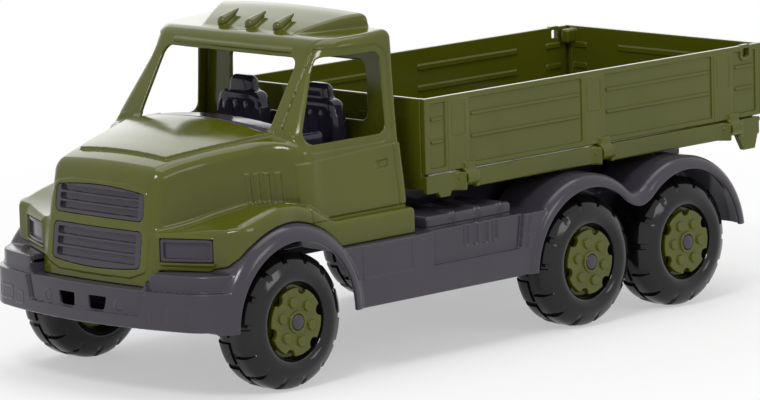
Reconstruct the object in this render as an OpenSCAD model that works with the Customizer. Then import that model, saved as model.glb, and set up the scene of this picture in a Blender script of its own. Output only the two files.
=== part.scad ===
// Toy flatbed truck with three axles, moulded in plastic. Millimetres, +Z up.
// The truck faces -Y and its left side is +X. The origin is on the floor, at the middle of its
// length and width.

/* [Overall] */
// Width over the mudguards
truck_w = 174; // [160:1:220]
// Length of the load bed's boards
bed_l = 258; // [210:1:320]
// From the bumper's front face to the cab's rear face
cab_l = 157.5; // [150:0.5:175]
// Space between the cab and the bed
cab_gap = 16.5; // [10:0.5:30]
// Height of the roof panel above the floor
roof_z = 169; // [164:0.5:185]

/* [Walls] */
// Wall of the cab shell
cab_wall = 2.4; // [1.8:0.1:3]
// Wall of the chassis moulding
chassis_wall = 2.5; // [1.8:0.1:3]
// Thickness of the side boards and the headboard
board_t = 2.5; // [2:0.1:3]
// Thickness of the tailgate
gate_t = 3; // [2.5:0.1:3.5]
// Thickness of the bed's floor
floor_t = 3; // [2:0.1:4]
// Running gap between pieces that move against each other
run_gap = 0.4; // [0.3:0.05:0.8]
// Gap between mouldings that are pushed together
seat_gap = 0.2; // [0.1:0.05:0.4]

/* [Wheels] */
// Radius of the tyre over its tread
wheel_r = 34.5; // [32:0.5:36]
// Width of the tyre
tyre_w = 29; // [24:0.5:32]
// How far the tyre's outer face lies inside the mudguard's
tyre_inset = 1; // [0.5:0.5:4]
// Radius of the tyre's opening
tyre_bore_r = 18.6; // [16:0.2:20]
// Radius of the hub's outer disc
hub_r = 17.1; // [14:0.1:18]
// Radius of the axle rod
axle_r = 2; // [1.5:0.1:3]
// Radial clearance of a hub on its axle rod
axle_play = 0.05; // [0.02:0.01:0.09]
// Bolts on a hub
hub_bolts = 6; // [5:1:8]
// From the bumper's front face to the front axle
front_overhang = 67.5; // [62:0.5:72]
// Space between the middle and rear tyres
bogie_gap = 6.2; // [4:0.1:14]
// From the rear axle to the tailgate's outer face
rear_overhang = 79; // [70:0.5:90]

/* [Chassis] */
// Space between the front tyre's tread and its arch
front_arch_gap = 4.4; // [3:0.1:6]
// Width of the front mudguard's band around its arch
front_guard_w = 9.8; // [7:0.1:11]
// Difference between the rear arches' radius and the tyre's
rear_arch_gap = 6.5; // [4:0.1:8]
// Width of the rear mudguards' band around their arches
rear_guard_w = 7; // [5:0.1:9]
// Lower edge of the skirts
skirt_bottom = 38.5; // [34:0.5:44]
// How far the rear arches' centres lie below the axles
rear_arch_drop = 2; // [0:0.5:4]
// Upper edge of the skirts
skirt_top = 66.3; // [62:0.1:70]
// Lower edge of the bumper
bumper_bottom = 35.5; // [32:0.5:40]
// Upper edge of the bumper's raised ends
bumper_top = 63; // [60:0.5:66]
// Upper edge of the bumper's middle
bumper_notch_z = 54.7; // [52:0.1:58]
// Half width of the bumper's lower middle
bumper_notch_w = 42; // [38:0.5:46]
// Distance between the frame rails' outer faces
rail_w = 94; // [84:1:100]
// Lower edge of the frame rails
rail_bottom = 42; // [40:0.5:46]

/* [Cab] */
// How far the fenders and sills lie inside the mudguards
fender_inset = 7; // [5:0.5:10]
// How far the doors lie inside the mudguards at the sill
door_inset = 12.5; // [11:0.5:16]
// Upper face of the sills
sill_z = 79.5; // [76:0.5:82]
// Height of the doors' belt line
belt_z = 112; // [108:0.5:116]
// Lower edge of the side windows
window_z = 118; // [115:0.5:124]
// Upper edge of the side windows
window_top = 158.5; // [150:0.5:160]
// Height of the hood at its front edge
hood_front_z = 112; // [106:0.5:116]
// Height of the hood at the windscreen
hood_rear_z = 124; // [120:0.5:126]
// Half width of the hood at its front edge
hood_front_w = 39; // [36:0.5:44]
// Half width of the two grilles
grille_w = 32; // [28:0.5:34]
// Height of the lower grille
grille_h = 18.5; // [14:0.5:20]
// Rise of the fairing above the roof panel
fairing_h = 11; // [6:0.5:14]

/* [Bed] */
// How far the side boards' outer faces lie inside the mudguards
board_inset = 16; // [14:0.5:22]
// Lower edge of the boards
board_bottom = 92.6; // [90:0.1:95]
// Height of the boards
board_h = 38.6; // [28:0.2:50]
// Height of the rails along the bed's floor
bed_rail_h = 9.9; // [8:0.1:12]
// Width of the posts on the boards
post_w = 14.5; // [10:0.5:18]
// How far the posts stand out of the boards
post_t = 0.8; // [0.5:0.1:1.2]
// Radius of the hinge knuckles
knuckle_r = 4.2; // [3.6:0.1:4.6]
// Length of each hinge knuckle
knuckle_l = 8.5; // [6:0.5:12]
// Radius of the hinge pins
pin_r = 1.5; // [1.2:0.1:2]
// Radial clearance of a knuckle on its pin
pin_play = 0.05; // [0.02:0.01:0.09]

/* [Hidden] */

olive = [0.33, 0.38, 0.18];
charcoal = [0.33, 0.31, 0.35];
navy = [0.18, 0.17, 0.23];
rubber = [0.16, 0.16, 0.16];
steel = [0.7, 0.7, 0.72];

fine = 96; // segments of a large circle
small = 48; // segments of a small circle
eps = 1; // how far a cut runs past a face

// Arches and mudguards around the tyres
front_arch_r = wheel_r + front_arch_gap;
front_guard_r = front_arch_r + front_guard_w;
rear_arch_r = wheel_r + rear_arch_gap;
rear_guard_r = rear_arch_r + rear_guard_w;
bogie_l = 2 * wheel_r + bogie_gap;

// Places along Y, counted from the bumper's front face
total_l = cab_l + cab_gap + bed_l + gate_t;
front_y = -total_l / 2;
cab_rear_y = front_y + cab_l;
bed_front_y = cab_rear_y + cab_gap;
gate_y = bed_front_y + bed_l;
axle_front_y = front_y + front_overhang;
axle_rear_y = gate_y + gate_t - rear_overhang;
axle_middle_y = axle_rear_y - bogie_l;

// Half widths
guard_x = truck_w / 2;
fender_x = guard_x - fender_inset;
door_x = guard_x - door_inset;
belt_x = door_x - 3.8;
roof_x = belt_x - 4;
board_x = guard_x - board_inset;
tyre_x = guard_x - tyre_inset;
rail_x = rail_w / 2;
house_x = tyre_x - tyre_w - 5; // inner wall of the wheel housings

// Heights
deck_z = skirt_top;
bed_floor_z = board_bottom - 1.1;
rail_z = bed_floor_z - bed_rail_h;
hinge_z = board_bottom - 4.6;
hinge_x = board_x + 1;
hinge_y = gate_y + gate_t - knuckle_r;

// Hinge places along a side board and across the tailgate
hinge_first = 26.5;
hinge_last = 27.5;
side_hinges = [bed_front_y + hinge_first,
               (2 * bed_front_y + bed_l + hinge_first - hinge_last) / 2,
               gate_y - hinge_last];
gate_hinges = [-board_x * 0.66, board_x * 0.66 - knuckle_l];
post_lead = 10; // how far a post starts ahead of its knuckle

AXLES = [["front", axle_front_y], ["middle", axle_middle_y], ["rear", axle_rear_y]];
SIDES = [["left", 1], ["right", -1]];

// ---------- shared shapes ----------

// A copy of the children on each side
module both() {
    children();
    mirror([1, 0, 0]) children();
}

// An outline in Y and Z, pushed along X from x0 to x1
module along_x(points, x0, x1) {
    translate([x0, 0, 0])
        rotate([90, 0, 90])
            linear_extrude(x1 - x0)
                polygon(points);
}

// An outline in X and Z, pushed along Y from y0 to y1
module along_y(points, y0, y1) {
    translate([0, y1, 0])
        rotate([90, 0, 0])
            linear_extrude(y1 - y0)
                polygon(points);
}

// A box between two corners
module block(low, high) {
    translate(low)
        cube(high - low);
}

// A rod along X from x0 to x1
module rod_x(x0, x1, y, z, r, segments = small) {
    translate([x0, y, z])
        rotate([0, 90, 0])
            cylinder(h = x1 - x0, r = r, $fn = segments);
}

// A rod along Y from y0 to y1
module rod_y(x, y0, y1, z, r) {
    translate([x, y1, z])
        rotate([90, 0, 0])
            cylinder(h = y1 - y0, r = r, $fn = small);
}

// Points on an arc about a centre
function arc(centre, r, from, to, steps) =
    [for (i = [0 : steps]) let (a = from + (to - from) * i / steps) centre + r * [cos(a), sin(a)]];

// An outline that runs anticlockwise, with every side moved in by d
function edge_normal(a, b) = [a[1] - b[1], b[0] - a[0]] / norm(b - a);
function inset(p, d) =
    [for (i = [0 : len(p) - 1])
        let (a = p[(i + len(p) - 1) % len(p)], b = p[i], c = p[(i + 1) % len(p)])
        let (m = edge_normal(a, b), n = edge_normal(b, c))
        b + (m + n) * d / (1 + m * n)];

// A half outline on the +X side, completed by its mirror image
function mirrored(half) =
    concat(half, [for (i = [len(half) - 1 : -1 : 0]) if (half[i][0] > 0) [-half[i][0], half[i][1]]]);

// ---------- chassis ----------

// Plan of the bumper, moved in by d
bumper_bow = 9.9;
bumper_corner_w = 18;
bow_half = guard_x - bumper_corner_w;
bow_r = (bow_half * bow_half + bumper_bow * bumper_bow) / (2 * bumper_bow);
bow_a = asin(bow_half / bow_r);
bumper_end_y = axle_front_y - front_arch_r;
frame_front_y = bumper_end_y - 10;
nose_ledge = 17; // how far the bumper's upper ledges reach back in the middle
fender_ledge = 30; // and at the ends
function bumper_half(d) =
    concat([[0, front_y + d]],
           [for (i = [1 : 6]) [0, front_y + bow_r] + (bow_r - d) * [sin(bow_a * i / 6), -cos(bow_a * i / 6)]],
           [[guard_x - 8 - d * 0.7, front_y + bumper_bow + 3.4 + d],
            [guard_x - 3 - d, front_y + bumper_bow + 8.5 + d * 0.7],
            [guard_x - 1.5 - d, bumper_end_y - 0.6]]);

module bumper() {
    notch_half = bumper_notch_w;
    difference() {
        translate([0, 0, bumper_bottom])
            linear_extrude(bumper_top - bumper_bottom)
                difference() {
                    polygon(mirrored(bumper_half(0)));
                    polygon(mirrored(bumper_half(chassis_wall)));
                }
        // lower middle
        block([-notch_half, front_y - eps, bumper_notch_z], [notch_half, bumper_end_y, bumper_top + eps]);
        // the two tow openings
        both()
            along_y([[5.5, 42.5], [15.5, 42.5], [17.5, 49.4], [5, 49.4]], front_y - eps, front_y + 8);
    }
    // ledges that close the bumper's top towards the cab's nose and fenders
    for (l = [[0, bumper_notch_w + chassis_wall, nose_ledge, bumper_notch_z],
              [bumper_notch_w, guard_x, fender_ledge, bumper_top]])
        translate([0, 0, l[3] - chassis_wall])
            linear_extrude(chassis_wall)
                intersection() {
                    polygon(mirrored(bumper_half(chassis_wall / 2)));
                    for (side = [0, 1])
                        mirror([side, 0])
                            translate([l[0] - eps, front_y])
                                square([l[1] - l[0] + eps, l[2]]);
                }
    // shelf behind the bumper
    translate([0, 0, bumper_bottom + 3])
        linear_extrude(chassis_wall)
            difference() {
                polygon(mirrored(bumper_half(chassis_wall / 2)));
                translate([-guard_x, frame_front_y + 1])
                    square([2 * guard_x, 20]);
            }
}

// Outline of one side in Y and Z: mudguards, skirt and the dip between the rear wheels, moved in by d
rear_arch_z = wheel_r - rear_arch_drop;
dip_z = wheel_r + 24.5;
module side_outline(d) {
    difference() {
        union() {
            translate([axle_front_y, wheel_r])
                circle(r = front_guard_r - d, $fn = fine);
            for (y = [axle_middle_y, axle_rear_y])
                translate([y, rear_arch_z])
                    circle(r = rear_guard_r - d, $fn = fine);
            translate([axle_front_y, 0])
                square([axle_middle_y - axle_front_y, skirt_top - d]);
            translate([axle_middle_y, 0])
                square([bogie_l, dip_z - d]);
        }
        translate([front_y, -total_l])
            square([total_l, total_l + skirt_bottom - (d > 0 ? eps : 0)]);
    }
}

// One side of the chassis: a tray that is open below, with round openings for the wheels
module side_tray() {
    difference() {
        translate([house_x - chassis_wall, 0, 0])
            rotate([90, 0, 90])
                linear_extrude(guard_x - house_x + chassis_wall)
                    side_outline(0);
        translate([house_x, 0, 0])
            rotate([90, 0, 90])
                linear_extrude(guard_x - house_x - chassis_wall)
                    side_outline(chassis_wall);
        // open towards the middle of the truck, ahead of the rear wheels
        translate([house_x - chassis_wall - eps, 0, 0])
            rotate([90, 0, 90])
                linear_extrude(chassis_wall + 2 * eps)
                    intersection() {
                        side_outline(chassis_wall);
                        translate([front_y, 0])
                            square([bogie_front_y - front_y, skirt_top * 2]);
                    }
        rod_x(guard_x - chassis_wall - eps, guard_x + eps, axle_front_y, wheel_r, front_arch_r, fine);
        for (y = [axle_middle_y, axle_rear_y])
            rod_x(guard_x - chassis_wall - eps, guard_x + eps, y, rear_arch_z, rear_arch_r, fine);
    }
}

boss_r = 6;
tank_l = 62;
bogie_front_y = axle_middle_y - rear_guard_r; // front end of the middle mudguard
tank_y = bogie_front_y - tank_l - 4;
front_rail_h = 8; // the rails are shallower ahead of the rear wheels
subframe_x = rail_x - 8;
tongue_x = rail_x - 7; // half width of the deck's front end

module chassis() {
    frame_rear_y = axle_rear_y + rear_guard_r - 10;
    color(charcoal)
        difference() {
            union() {
                bumper();
                both() {
                    side_tray();
                    // frame rails
                    block([rail_x - chassis_wall, bumper_end_y - 1, deck_z - front_rail_h],
                          [rail_x, bogie_front_y + eps, deck_z - chassis_wall / 2]);
                    block([rail_x - chassis_wall, bogie_front_y, rail_bottom],
                          [rail_x, frame_rear_y, deck_z - chassis_wall / 2]);
                    block([tongue_x - chassis_wall, frame_front_y, rail_bottom],
                          [tongue_x, bumper_end_y, deck_z - chassis_wall / 2]);
                    // upper rails that carry the bed
                    block([subframe_x - chassis_wall, bed_front_y + 4, deck_z - chassis_wall / 2],
                          [subframe_x, gate_y - 30, bed_floor_z - floor_t]);
                    // axle bearings
                    for (a = AXLES) {
                        rod_x(rail_x - 10, tyre_x - tyre_w - run_gap, a[1], wheel_r, boss_r);
                        block([rail_x - 9, a[1] - boss_r + 1, wheel_r],
                              [rail_x - 1, a[1] + boss_r - 1, deck_z - eps]);
                    }
                    // tank on the shelf behind the cab
                    block([house_x - 6, tank_y, deck_z - eps], [fender_x - 2, tank_y + tank_l, deck_z + 6.5]);
                }
                // deck, and its narrow front end under the hood
                block([-house_x + 1, bumper_end_y - 1, deck_z - chassis_wall],
                      [house_x - 1, frame_rear_y, deck_z]);
                block([-tongue_x, frame_front_y, deck_z - chassis_wall], [tongue_x, bumper_end_y, deck_z]);
                // front cross wall that ties the bumper's shelf to the deck
                block([-tongue_x, frame_front_y, bumper_bottom + 4],
                      [tongue_x, frame_front_y + chassis_wall, deck_z - eps]);
                // cross ribs between the rails
                for (a = AXLES)
                    block([-rail_x + 1, a[1] + 9, rail_bottom + 1],
                          [rail_x - 1, a[1] + 9 + chassis_wall, deck_z - eps]);
            }
            for (a = AXLES)
                rod_x(-guard_x, guard_x, a[1], wheel_r, axle_r + axle_play);
        }
}

// ---------- cab ----------

arch_gap = front_guard_r + seat_gap;
windscreen_y = axle_front_y + 18.5; // foot of the windscreen
screen_rake = 30; // how far the roof starts behind the windscreen's foot
hood_foot_x = door_x - 6;
nose_bottom = bumper_notch_z + seat_gap;
nose_slope = 0.139; // how far the nose leans back for each millimetre of height
function nose_y(z) = front_y + 11 + (z - nose_bottom) * nose_slope;
fender_top = 92.5;
lamp_in = grille_w + 11; // inner end of a headlamp
lamp_out = fender_x - 12.3; // outer end of a headlamp

// Each body of the cab is drawn with its faces moved in by d and its lower edge moved down by drop

// Plan of fenders and sills
function lower_plan(d) =
    inset(mirrored([[0, front_y + 16], [lamp_in, front_y + 16], [lamp_out, front_y + 28],
                    [fender_x - 4, front_y + 38], [fender_x, front_y + 52], [fender_x, cab_rear_y],
                    [0, cab_rear_y]]), d);

// Side view of fenders and sills
function lower_side(d, drop) =
    inset([[front_y + 5, bumper_top + seat_gap - drop], [axle_front_y, bumper_top + seat_gap - drop],
           [axle_front_y, skirt_top + seat_gap - drop], [cab_rear_y + 3, skirt_top + seat_gap - drop],
           [cab_rear_y + 3, sill_z],
           [axle_front_y + 35, sill_z], [axle_front_y + 29, sill_z + 2.2], [axle_front_y + 22, sill_z + 6.6],
           [axle_front_y + 15, sill_z + 10], [axle_front_y + 7, fender_top - 0.8],
           [axle_front_y - 5, fender_top], [axle_front_y - 18, fender_top - 1.6],
           [axle_front_y - 32, fender_top - 4.2], [axle_front_y - 47, fender_top - 7.2],
           [front_y + 5, fender_top - 10]], d);

module lower_body(d, drop) {
    intersection() {
        along_x(lower_side(d, drop), -fender_x - eps, fender_x + eps);
        linear_extrude(roof_z)
            polygon(lower_plan(d));
    }
}

// Plan of the hood, which widens towards the doors
function hood_plan(d) =
    inset(mirrored([[0, front_y + 7], [grille_w, front_y + 8.5], [hood_front_w, front_y + 14],
                    [hood_front_w + 9, axle_front_y - 16], [hood_foot_x - 8, axle_front_y + 8],
                    [hood_foot_x, windscreen_y + 8], [hood_foot_x, windscreen_y + 24], [0, windscreen_y + 24]]),
          d);

module hood(d, drop) {
    intersection() {
        along_x(inset([[nose_y(nose_bottom - drop), nose_bottom - drop],
                       [front_y + 17, nose_bottom - drop], [front_y + 17, deck_z + seat_gap - drop],
                       [windscreen_y + 22 + 2 * d, deck_z + seat_gap - drop],
                       [windscreen_y + 22 + 2 * d, hood_rear_z + 0.3], [windscreen_y, hood_rear_z],
                       [front_y + 25.5, hood_front_z],
                       [nose_y(hood_front_z - 6), hood_front_z - 6]], d),
                -door_x, door_x);
        linear_extrude(roof_z)
            polygon(hood_plan(d));
    }
}

// Front view of the cabin
function cabin_front(d, drop) =
    inset(mirrored([[0, sill_z - 8 - drop], [door_x, sill_z - 8 - drop], [door_x, sill_z], [belt_x, belt_z],
                    [roof_x, roof_z - 3], [roof_x - 3, roof_z], [0, roof_z]]), d);

// Side view of the cabin
function cabin_side(d, drop) =
    inset([[windscreen_y, sill_z - 9 - drop], [cab_rear_y - 0.5, sill_z - 9 - drop], [cab_rear_y - 0.5, sill_z],
           [cab_rear_y - 2, roof_z - 4], [cab_rear_y - 5, roof_z], [windscreen_y + screen_rake + 4, roof_z],
           [windscreen_y + screen_rake, roof_z - 2.5], [windscreen_y, hood_rear_z - 6]], d);

module cabin(d, drop) {
    intersection() {
        along_y(cabin_front(d, drop), front_y, cab_rear_y);
        along_x(cabin_side(d, drop), -door_x - eps, door_x + eps);
    }
}

// Raised fairing on the roof, open to the cabin below
module fairing(d, drop) {
    foot_y = windscreen_y + 34;
    intersection() {
        along_x(inset([[foot_y, roof_z - 1.5 - drop], [cab_rear_y - 3, roof_z - 1.5 - drop],
                       [cab_rear_y - 3, roof_z + 2],
                       [cab_rear_y - 7, roof_z + fairing_h - 1], [cab_rear_y - 12, roof_z + fairing_h],
                       [foot_y + 16, roof_z + fairing_h - 3.5], [foot_y, roof_z - 0.5]], d),
                -roof_x, roof_x);
        linear_extrude(roof_z * 2)
            polygon(inset(mirrored([[0, foot_y - 1], [roof_x - 31, foot_y - 1],
                                    [roof_x - 12, cab_rear_y - 2], [0, cab_rear_y - 2]]), d));
    }
}

screen_low_w = 47.4;
screen_top_w = 44.5;
rear_window_w = 50;
lamp_t = 4.5;
lamp_z0 = 68.7;
lamp_z1 = 79;
grille_z = [[86.3, 83.3 + grille_h], [62.8, 62.8 + grille_h]];

function grille_outline(i, d) =
    let (z0 = grille_z[i][0] + d, z1 = grille_z[i][1] - d, w = grille_w - d)
    [[-w + 3, z0], [w - 3, z0], [w, z0 + 3], [w - 1, z1 - 3], [w - 4, z1], [-w + 4, z1], [-w + 1, z1 - 3],
     [-w, z0 + 3]];

side_window =
    [[windscreen_y + 10, window_z], [cab_rear_y - 11, window_z], [cab_rear_y - 8, window_z + 3],
     [cab_rear_y - 9, window_top - 3], [cab_rear_y - 12, window_top], [windscreen_y + 34, window_top],
     [windscreen_y + 29, window_top - 4], [windscreen_y + 7, window_z + 5]];

module cab_shell() {
    color(olive)
        difference() {
            union() {
                lower_body(0, 0);
                hood(0, 0);
                cabin(0, 0);
                fairing(0, 0);
            }
            // hollow inside, with a wall left around the wheel arches
            difference() {
                union() {
                    lower_body(cab_wall, 12);
                    hood(cab_wall, 12);
                    cabin(cab_wall, 2);
                    fairing(cab_wall, 12);
                }
                both()
                    rod_x(house_x + seat_gap, guard_x, axle_front_y, wheel_r, arch_gap + cab_wall, fine);
            }
            rod_x(-guard_x - eps, guard_x + eps, axle_front_y, wheel_r, arch_gap, fine);
            // windows
            along_y([[-screen_low_w, hood_rear_z + 0.5], [screen_low_w, hood_rear_z + 0.5],
                     [screen_top_w, window_top], [-screen_top_w, window_top]],
                    windscreen_y - 10, windscreen_y + 34);
            along_x(side_window, -guard_x, guard_x);
            along_y([[-rear_window_w + 3, window_z + 3], [rear_window_w - 3, window_z + 3],
                     [rear_window_w, window_z + 6], [rear_window_w - 1, window_top - 10],
                     [rear_window_w - 4, window_top - 7], [-rear_window_w + 4, window_top - 7],
                     [-rear_window_w + 1, window_top - 10], [-rear_window_w, window_z + 6]],
                    cab_rear_y - 8, cab_rear_y + eps);
            // openings for the grilles and headlamps
            for (i = [0, 1])
                along_y(grille_outline(i, -seat_gap), front_y, front_y + 30);
            both()
                block([lamp_in - seat_gap, front_y, lamp_z0 - seat_gap],
                      [lamp_out + seat_gap, front_y + 42, lamp_z1 + seat_gap]);
        }
}

// One moulding: floor, dashboard and two seats
seat_x = 30.3;
seat_w = 36;
seat_back_y = cab_rear_y - 7;
inner_x = door_x - cab_wall - 3;
cab_floor_z = deck_z + seat_gap;

module seat() {
    back_tilt = 4;
    // cushion
    block([-seat_w / 2, seat_back_y - 38, cab_floor_z], [seat_w / 2, seat_back_y - 8, cab_floor_z + 24]);
    // backrest and headrest
    along_x([[seat_back_y - 16, cab_floor_z], [seat_back_y, cab_floor_z], [seat_back_y, belt_z + 18],
             [seat_back_y - back_tilt, belt_z + 18], [seat_back_y - 13, belt_z - 20]],
            -seat_w / 2, seat_w / 2);
    block([-9, seat_back_y - 7, belt_z + 10], [9, seat_back_y, belt_z + 28.3]);
}

module cab_interior() {
    riser_y = axle_front_y + 42; // behind the wheel housings
    dash_y = windscreen_y + 6;
    dash_low = belt_z - 10;
    color(navy) {
        block([-inner_x, riser_y, cab_floor_z], [inner_x, seat_back_y + 3.5, cab_floor_z + 2]);
        for (s = [-1, 1])
            translate([s * seat_x, 0, 0])
                seat();
        // riser and dashboard
        block([-inner_x + 5, riser_y, cab_floor_z + 1], [inner_x - 5, riser_y + 2, dash_low + 1]);
        along_x([[dash_y + 2, dash_low], [riser_y + 2, dash_low], [riser_y + 2, dash_low + 10],
                 [dash_y + 12, hood_rear_z - 3], [dash_y, hood_rear_z - 1.5], [dash_y, dash_low + 6]],
                -inner_x + 5, inner_x - 5);
    }
}

// A slotted panel that lies along the nose
module grille(i) {
    depth = 4;
    slot_h = 2.4;
    z0 = grille_z[i][0];
    z1 = grille_z[i][1];
    bar = (z1 - z0 - 4) / 3;
    color(charcoal)
        difference() {
            intersection() {
                along_y(grille_outline(i, 0), front_y, front_y + 40);
                along_x([[nose_y(z0), z0], [nose_y(z0) + depth, z0], [nose_y(z1) + depth, z1], [nose_y(z1), z1]],
                        -guard_x, guard_x);
            }
            for (k = [0 : 2])
                let (z = z0 + 3 + k * bar)
                    block([-grille_w + 4, front_y, z], [grille_w - 4, nose_y(z) + 1.6, z + slot_h]);
        }
}

// The headlamp follows the corner of the nose
module headlamp() {
    color(charcoal)
        translate([0, 0, lamp_z0])
            linear_extrude(lamp_z1 - lamp_z0)
                polygon([[lamp_in, front_y + 15.6], [lamp_out, front_y + 27.6],
                         [lamp_out, front_y + 27.6 + lamp_t], [lamp_in, front_y + 15.6 + lamp_t]]);
}

// ---------- load bed ----------

module hinge_slot(y) {
    block([hinge_x - knuckle_r - 1, y - run_gap, hinge_z - knuckle_r - 1],
          [hinge_x + knuckle_r + 1, y + knuckle_l + run_gap, bed_floor_z + eps]);
}

ear_l = 8;
corner_w = 5; // width and depth of the headboard's corner strips
corner_d = 3;
bed_edge_z = bed_floor_z - 0.5; // top of the floor beside its raised panel

module bed_floor() {
    inner = board_x - board_t - 1;
    color(olive)
        difference() {
            union() {
                // floor, and its raised panel between the boards
                block([-hinge_x, bed_front_y, bed_floor_z - floor_t], [hinge_x, gate_y - run_gap, bed_edge_z]);
                block([-inner, bed_front_y + board_t + corner_d + 0.5, bed_floor_z - floor_t / 2],
                      [inner, gate_y - run_gap - 1, bed_floor_z]);
                // rails along both sides
                both() {
                    block([hinge_x - 3, bed_front_y, rail_z], [hinge_x, gate_y - run_gap - 1, bed_edge_z]);
                    for (y = side_hinges) {
                        // flared ear in front of each knuckle
                        rod_y(hinge_x, y - ear_l, y - run_gap, hinge_z, knuckle_r);
                        // pin
                        rod_y(hinge_x, y - ear_l, y + knuckle_l + run_gap + 2, hinge_z, pin_r);
                    }
                    // rear corner that hangs below the rail
                    block([hinge_x - 3, gate_y - 16, rail_z - 7.5], [hinge_x, gate_y - 6, rail_z]);
                }
                // front and rear cross rails
                block([-hinge_x, bed_front_y, rail_z + 2], [hinge_x, bed_front_y + 3, bed_edge_z]);
                block([-hinge_x, hinge_y - 3, rail_z], [hinge_x, hinge_y, bed_edge_z]);
                // cross ribs under the floor
                for (k = [1 : 4])
                    block([-hinge_x + 3, bed_front_y + k * bed_l / 5, rail_z + 3],
                          [hinge_x - 3, bed_front_y + k * bed_l / 5 + 2, bed_edge_z]);
                for (x = gate_hinges)
                    rod_x(x - 3, x + knuckle_l + 3, hinge_y, hinge_z, pin_r);
            }
            // slots for the knuckles, with the pins left in them
            both()
                for (y = side_hinges)
                    difference() {
                        hinge_slot(y);
                        rod_y(hinge_x, y - eps, y + knuckle_l + eps, hinge_z, pin_r);
                    }
            for (x = gate_hinges)
                difference() {
                    block([x - run_gap, hinge_y - knuckle_r - 1, hinge_z - knuckle_r - 1],
                          [x + knuckle_l + run_gap, gate_y + eps, bed_floor_z + eps]);
                    rod_x(x - eps, x + knuckle_l + eps, hinge_y, hinge_z, pin_r);
                }
            // the upper rails of the chassis end under the floor
            both()
                block([subframe_x - chassis_wall - seat_gap, bed_front_y + 3.5, 0],
                      [subframe_x + seat_gap, gate_y - 29, bed_floor_z - floor_t]);
            // the tailgate turns behind the floor
            block([-guard_x, hinge_y + eps, 0], [guard_x, gate_y + eps, hinge_z - knuckle_r]);
        }
}

module headboard() {
    color(olive) {
        block([-board_x + board_t + run_gap, bed_front_y, bed_edge_z],
              [board_x - board_t - run_gap, bed_front_y + board_t, board_bottom + board_h]);
        // corner strips
        both()
            block([board_x - board_t - run_gap - corner_w, bed_front_y + board_t, bed_edge_z],
                  [board_x - board_t - run_gap, bed_front_y + board_t + corner_d, board_bottom + board_h]);
    }
}

// A board that stands on knuckles, drawn for the +X side
module side_board() {
    color(olive)
        difference() {
            union() {
                block([board_x - board_t, bed_front_y, board_bottom],
                      [board_x, gate_y - run_gap, board_bottom + board_h]);
                for (y = side_hinges) {
                    block([board_x, y - post_lead, board_bottom],
                          [board_x + post_t, y - post_lead + post_w, board_bottom + board_h]);
                    rod_y(hinge_x, y, y + knuckle_l, hinge_z, knuckle_r);
                    block([board_x - board_t, y, hinge_z], [hinge_x + 1, y + knuckle_l, board_bottom + 4]);
                }
            }
            for (y = side_hinges)
                rod_y(hinge_x, y - eps, y + knuckle_l + eps, hinge_z, pin_r + pin_play);
            // square latch hole
            block([board_x - board_t - eps, gate_y - 13.5, board_bottom + board_h - 6],
                  [board_x + eps, gate_y - 8.5, board_bottom + board_h - 1.5]);
        }
}

module tailgate() {
    color(olive)
        difference() {
            union() {
                block([-board_x, gate_y, board_bottom], [board_x, gate_y + gate_t, board_bottom + board_h]);
                // latch knobs
                both()
                    block([board_x - board_t - 1 - 6, gate_y - 8, board_bottom + board_h - 9],
                          [board_x - board_t - 1, gate_y + eps, board_bottom + board_h - 1]);
                for (x = gate_hinges) {
                    rod_x(x, x + knuckle_l, hinge_y, hinge_z, knuckle_r);
                    block([x, hinge_y, hinge_z], [x + knuckle_l, gate_y + gate_t, board_bottom + 3]);
                }
            }
            for (x = gate_hinges)
                rod_x(x - eps, x + knuckle_l + eps, hinge_y, hinge_z, pin_r + pin_play);
        }
}

// ---------- wheels ----------

head_r = 3.2;
rod_end = tyre_x - 2.6; // end of the axle rod
hub_face = tyre_x - 1.5; // outer face of the hub

module axle(y) {
    color(steel) {
        rod_x(-rod_end, rod_end, y, wheel_r, axle_r);
        both()
            rod_x(rod_end - 0.8, rod_end, y, wheel_r, head_r);
    }
}

// Half section of the tyre: radius, then distance from its inner face
lip_r = 3.5;
shoulder_r = min(8, wheel_r - tyre_bore_r - lip_r - 0.5);
function tyre_section() =
    concat([[tyre_bore_r, lip_r]], arc([tyre_bore_r + lip_r, lip_r], lip_r, 180, 270, 6),
           arc([wheel_r - shoulder_r, shoulder_r], shoulder_r, -90, 0, 8),
           arc([wheel_r - shoulder_r, tyre_w - shoulder_r], shoulder_r, 0, 90, 8),
           arc([tyre_bore_r + lip_r, tyre_w - lip_r], lip_r, 90, 180, 6));

// Wheel pieces are drawn with the axle along Z and the outer face up, then laid in place
module place_wheel(y, s) {
    translate([s * (tyre_x - tyre_w), y, wheel_r])
        rotate([0, s * 90, 0])
            children();
}

module tyre(y, s) {
    color(rubber)
        place_wheel(y, s)
            rotate_extrude($fn = fine)
                polygon(tyre_section());
}

hub_top = hub_face - (tyre_x - tyre_w);
boss_out_r = 6;
rim_t = 2;
disc_t = 3;
bolt_r = 3;
bolt_h = 1.4;
bolt_circle_r = 10.3;

// Half section of the hub: radius, then distance from the tyre's inner face
function hub_section() =
    let (bore = axle_r + axle_play, pocket = head_r + run_gap)
    [[bore, 0], [boss_out_r, 0], [boss_out_r, hub_top - 2 * disc_t], [tyre_bore_r - rim_t, hub_top - 2 * disc_t],
     [tyre_bore_r - rim_t, 4], [tyre_bore_r, 4], [tyre_bore_r, hub_top - disc_t], [hub_r, hub_top - disc_t],
     [hub_r, hub_top], [pocket, hub_top], [pocket, hub_top - disc_t], [bore, hub_top - disc_t]];

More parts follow.
